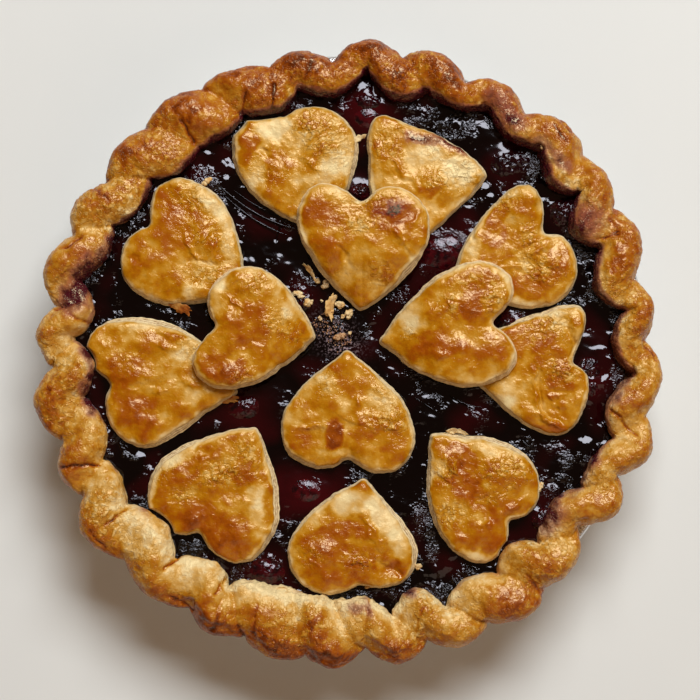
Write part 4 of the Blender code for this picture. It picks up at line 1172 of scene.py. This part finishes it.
# ---------------------------------------------------------------------------------------------
# Flakes. Single thin layers of puff pastry that came off the hearts' sides, curled and tilted
# where they landed on the jelly or hang from the edge they came off.
# ---------------------------------------------------------------------------------------------
FLAKES = (
    # x, y, height, half length, half width, turn, tilt, curl, bake, juice
    (-7.1, 18.4, 38.2, 4.6, 2.1, 84, 38, 1.2, 0.20, 0.0), (-68, 18, 38.0, 5.0, 2.2, -20, 30, 0.8, 0.62, 0.0),
    (-53, -17, 38.2, 8.5, 1.6, -6, 34, 0.8, 0.66, 0.0), (-50, -18.8, 37.4, 7.0, 1.5, -4, 20, 0.8, 0.52, 0.0),
    (4.5, 87, 38.0, 2.6, 1.2, 30, 25, 0.6, 0.02, 0.0), (44, -31.5, 38.6, 4.0, 1.4, -12, 40, 0.9, 0.06, 0.0),
    (38.5, -33.5, 38.0, 2.4, 1.2, 20, 45, 0.9, 0.06, 0.0), (24, 34.5, 38.4, 3.4, 1.4, 35, 42, 0.7, 0.12, 0.0),
    (29, 40.5, 39.4, 2.2, 1.1, 48, 48, 0.6, 0.10, 0.0), (-15, 33, 38.2, 3.6, 1.2, -55, 42, 0.7, 0.16, 0.0),
    (12, -62, 38.0, 3.0, 1.3, -40, 30, 0.6, 0.10, 0.2), (-31, -62, 38.0, 4.0, 1.4, 95, 36, 0.7, 0.12, 0.0),
    (80, 84, 41.6, 2.4, 1.6, 20, 30, 0.9, 0.10, 0.16), (-18, -98, 40.2, 3.2, 1.4, 10, 34, 0.8, 0.03, 0.0),
    (-11, -99, 40.4, 2.6, 1.2, -12, 40, 0.8, 0.02, 0.0), (-27, -95, 40.0, 2.6, 1.3, 25, 34, 0.8, 0.05, 0.0),
)


def flake(x, y, z, length, width, turn, tilt, curl, seed):
    """Rings and poles of a thin ragged sheet, bent up at its ends and tilted about its length.

    Its outline is an ellipse times one plus noise. Rings run out underneath and in on top.
    """
    angles = np.linspace(0, 2 * math.pi, 64, endpoint=False)
    circle = ring_of(angles, 1.0, 0.0)
    reach = 1 + 0.40 * uneven(circle, 0.9, seed) + 0.34 * uneven(circle, 0.3, seed + 1)
    sizes = np.concatenate([np.linspace(0.1, 1, 8), np.linspace(1, 0.1, 8)])[:, None]
    over = np.repeat([-1.0, 1.0], 8)[:, None]
    along = np.cos(angles) * reach * sizes * length
    across = np.sin(angles) * reach * sizes * width
    sheet = np.stack([along, across, np.zeros_like(along)], axis=-1)
    up = curl * (along / length) ** 2 + 0.7 * uneven(sheet * MM, 2.2 * MM, seed + 2)
    up = up + over * 0.13 * (1 - 0.8 * sizes**6)
    tilt, turn = math.radians(tilt), math.radians(turn)
    across, up = (
        across * math.cos(tilt) - up * math.sin(tilt),
        across * math.sin(tilt) + up * math.cos(tilt),
    )
    side = along * math.cos(turn) - across * math.sin(turn) + x
    ahead = along * math.sin(turn) + across * math.cos(turn) + y
    rings = np.stack([side, ahead, up + z], axis=-1) * MM
    return rings, rings[0].mean(axis=0), rings[-1].mean(axis=0)


flakes = skin(
    "pastry_flakes",
    [flake(*row[:8], 350 + 3 * number) for number, row in enumerate(FLAKES)],
    {
        "bake": [np.full((16, 64), row[8]) for row in FLAKES],
        "juice": [np.full((16, 64), row[9]) for row in FLAKES],
    },
)
flakes.data.materials.append(crumb_pastry)
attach(flakes, "root")

# ---------------------------------------------------------------------------------------------
# Syrup strands. Boiling syrup that ran down between the hearts and set on the jelly as thin
# raised threads.
# ---------------------------------------------------------------------------------------------
STRANDS = (
    # half width, then x, y of three points that a thread curves through
    (0.50, (-52, 68), (-37, 56.5), (-20, 50)), (0.42, (-51, 65), (-38, 54.2), (-24, 47.5)),
    (0.34, (-46, 66), (-34, 58), (-21, 53)), (0.40, (27, -18), (33, -22), (37, -24.5)),
    (0.36, (41, -17), (47, -20.5), (54, -22)), (0.34, (68, -31), (71, -36), (75, -39)),
    (0.34, (-23, 58), (-27, 52), (-29, 45)), (0.34, (-13, 4.5), (-16, 1.0), (-20, -3)),
)
strand_bodies = []
for half_width, *points in STRANDS:
    start, middle, end = np.array(points, dtype=float)
    part = np.linspace(0, 1, 48)[:, None]
    path = start * (1 - part) * (1 - 2 * part) + middle * 4 * part * (1 - part)
    path = path + end * part * (2 * part - 1)
    path = np.column_stack([path, np.full(48, 36.4)])
    path[:, 2] += 0.2 * uneven(path * MM, 4 * MM, 81)
    ahead = np.gradient(path, axis=0)
    ahead /= np.linalg.norm(ahead, axis=1, keepdims=True)
    beside = np.column_stack([-ahead[:, 1], ahead[:, 0], np.zeros(48)])
    girth = half_width * (0.7 + 0.5 * uneven(path * MM, 5 * MM, 82)) * np.sin(math.pi * part[:, 0]) ** 0.5
    girth = np.maximum(girth, 0.08)[:, None, None]
    angles = np.linspace(0, 2 * math.pi, 12, endpoint=False)[:, None]
    rings = beside[:, None] * np.cos(angles) + np.array([0, 0, 1]) * np.sin(angles)
    rings = path[:, None] + girth * rings
    strand_bodies.append((rings * MM, path[0] * MM, path[-1] * MM))
strands = skin("syrup_strands", strand_bodies)
strands.data.materials.append(jelly)
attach(strands, "root")
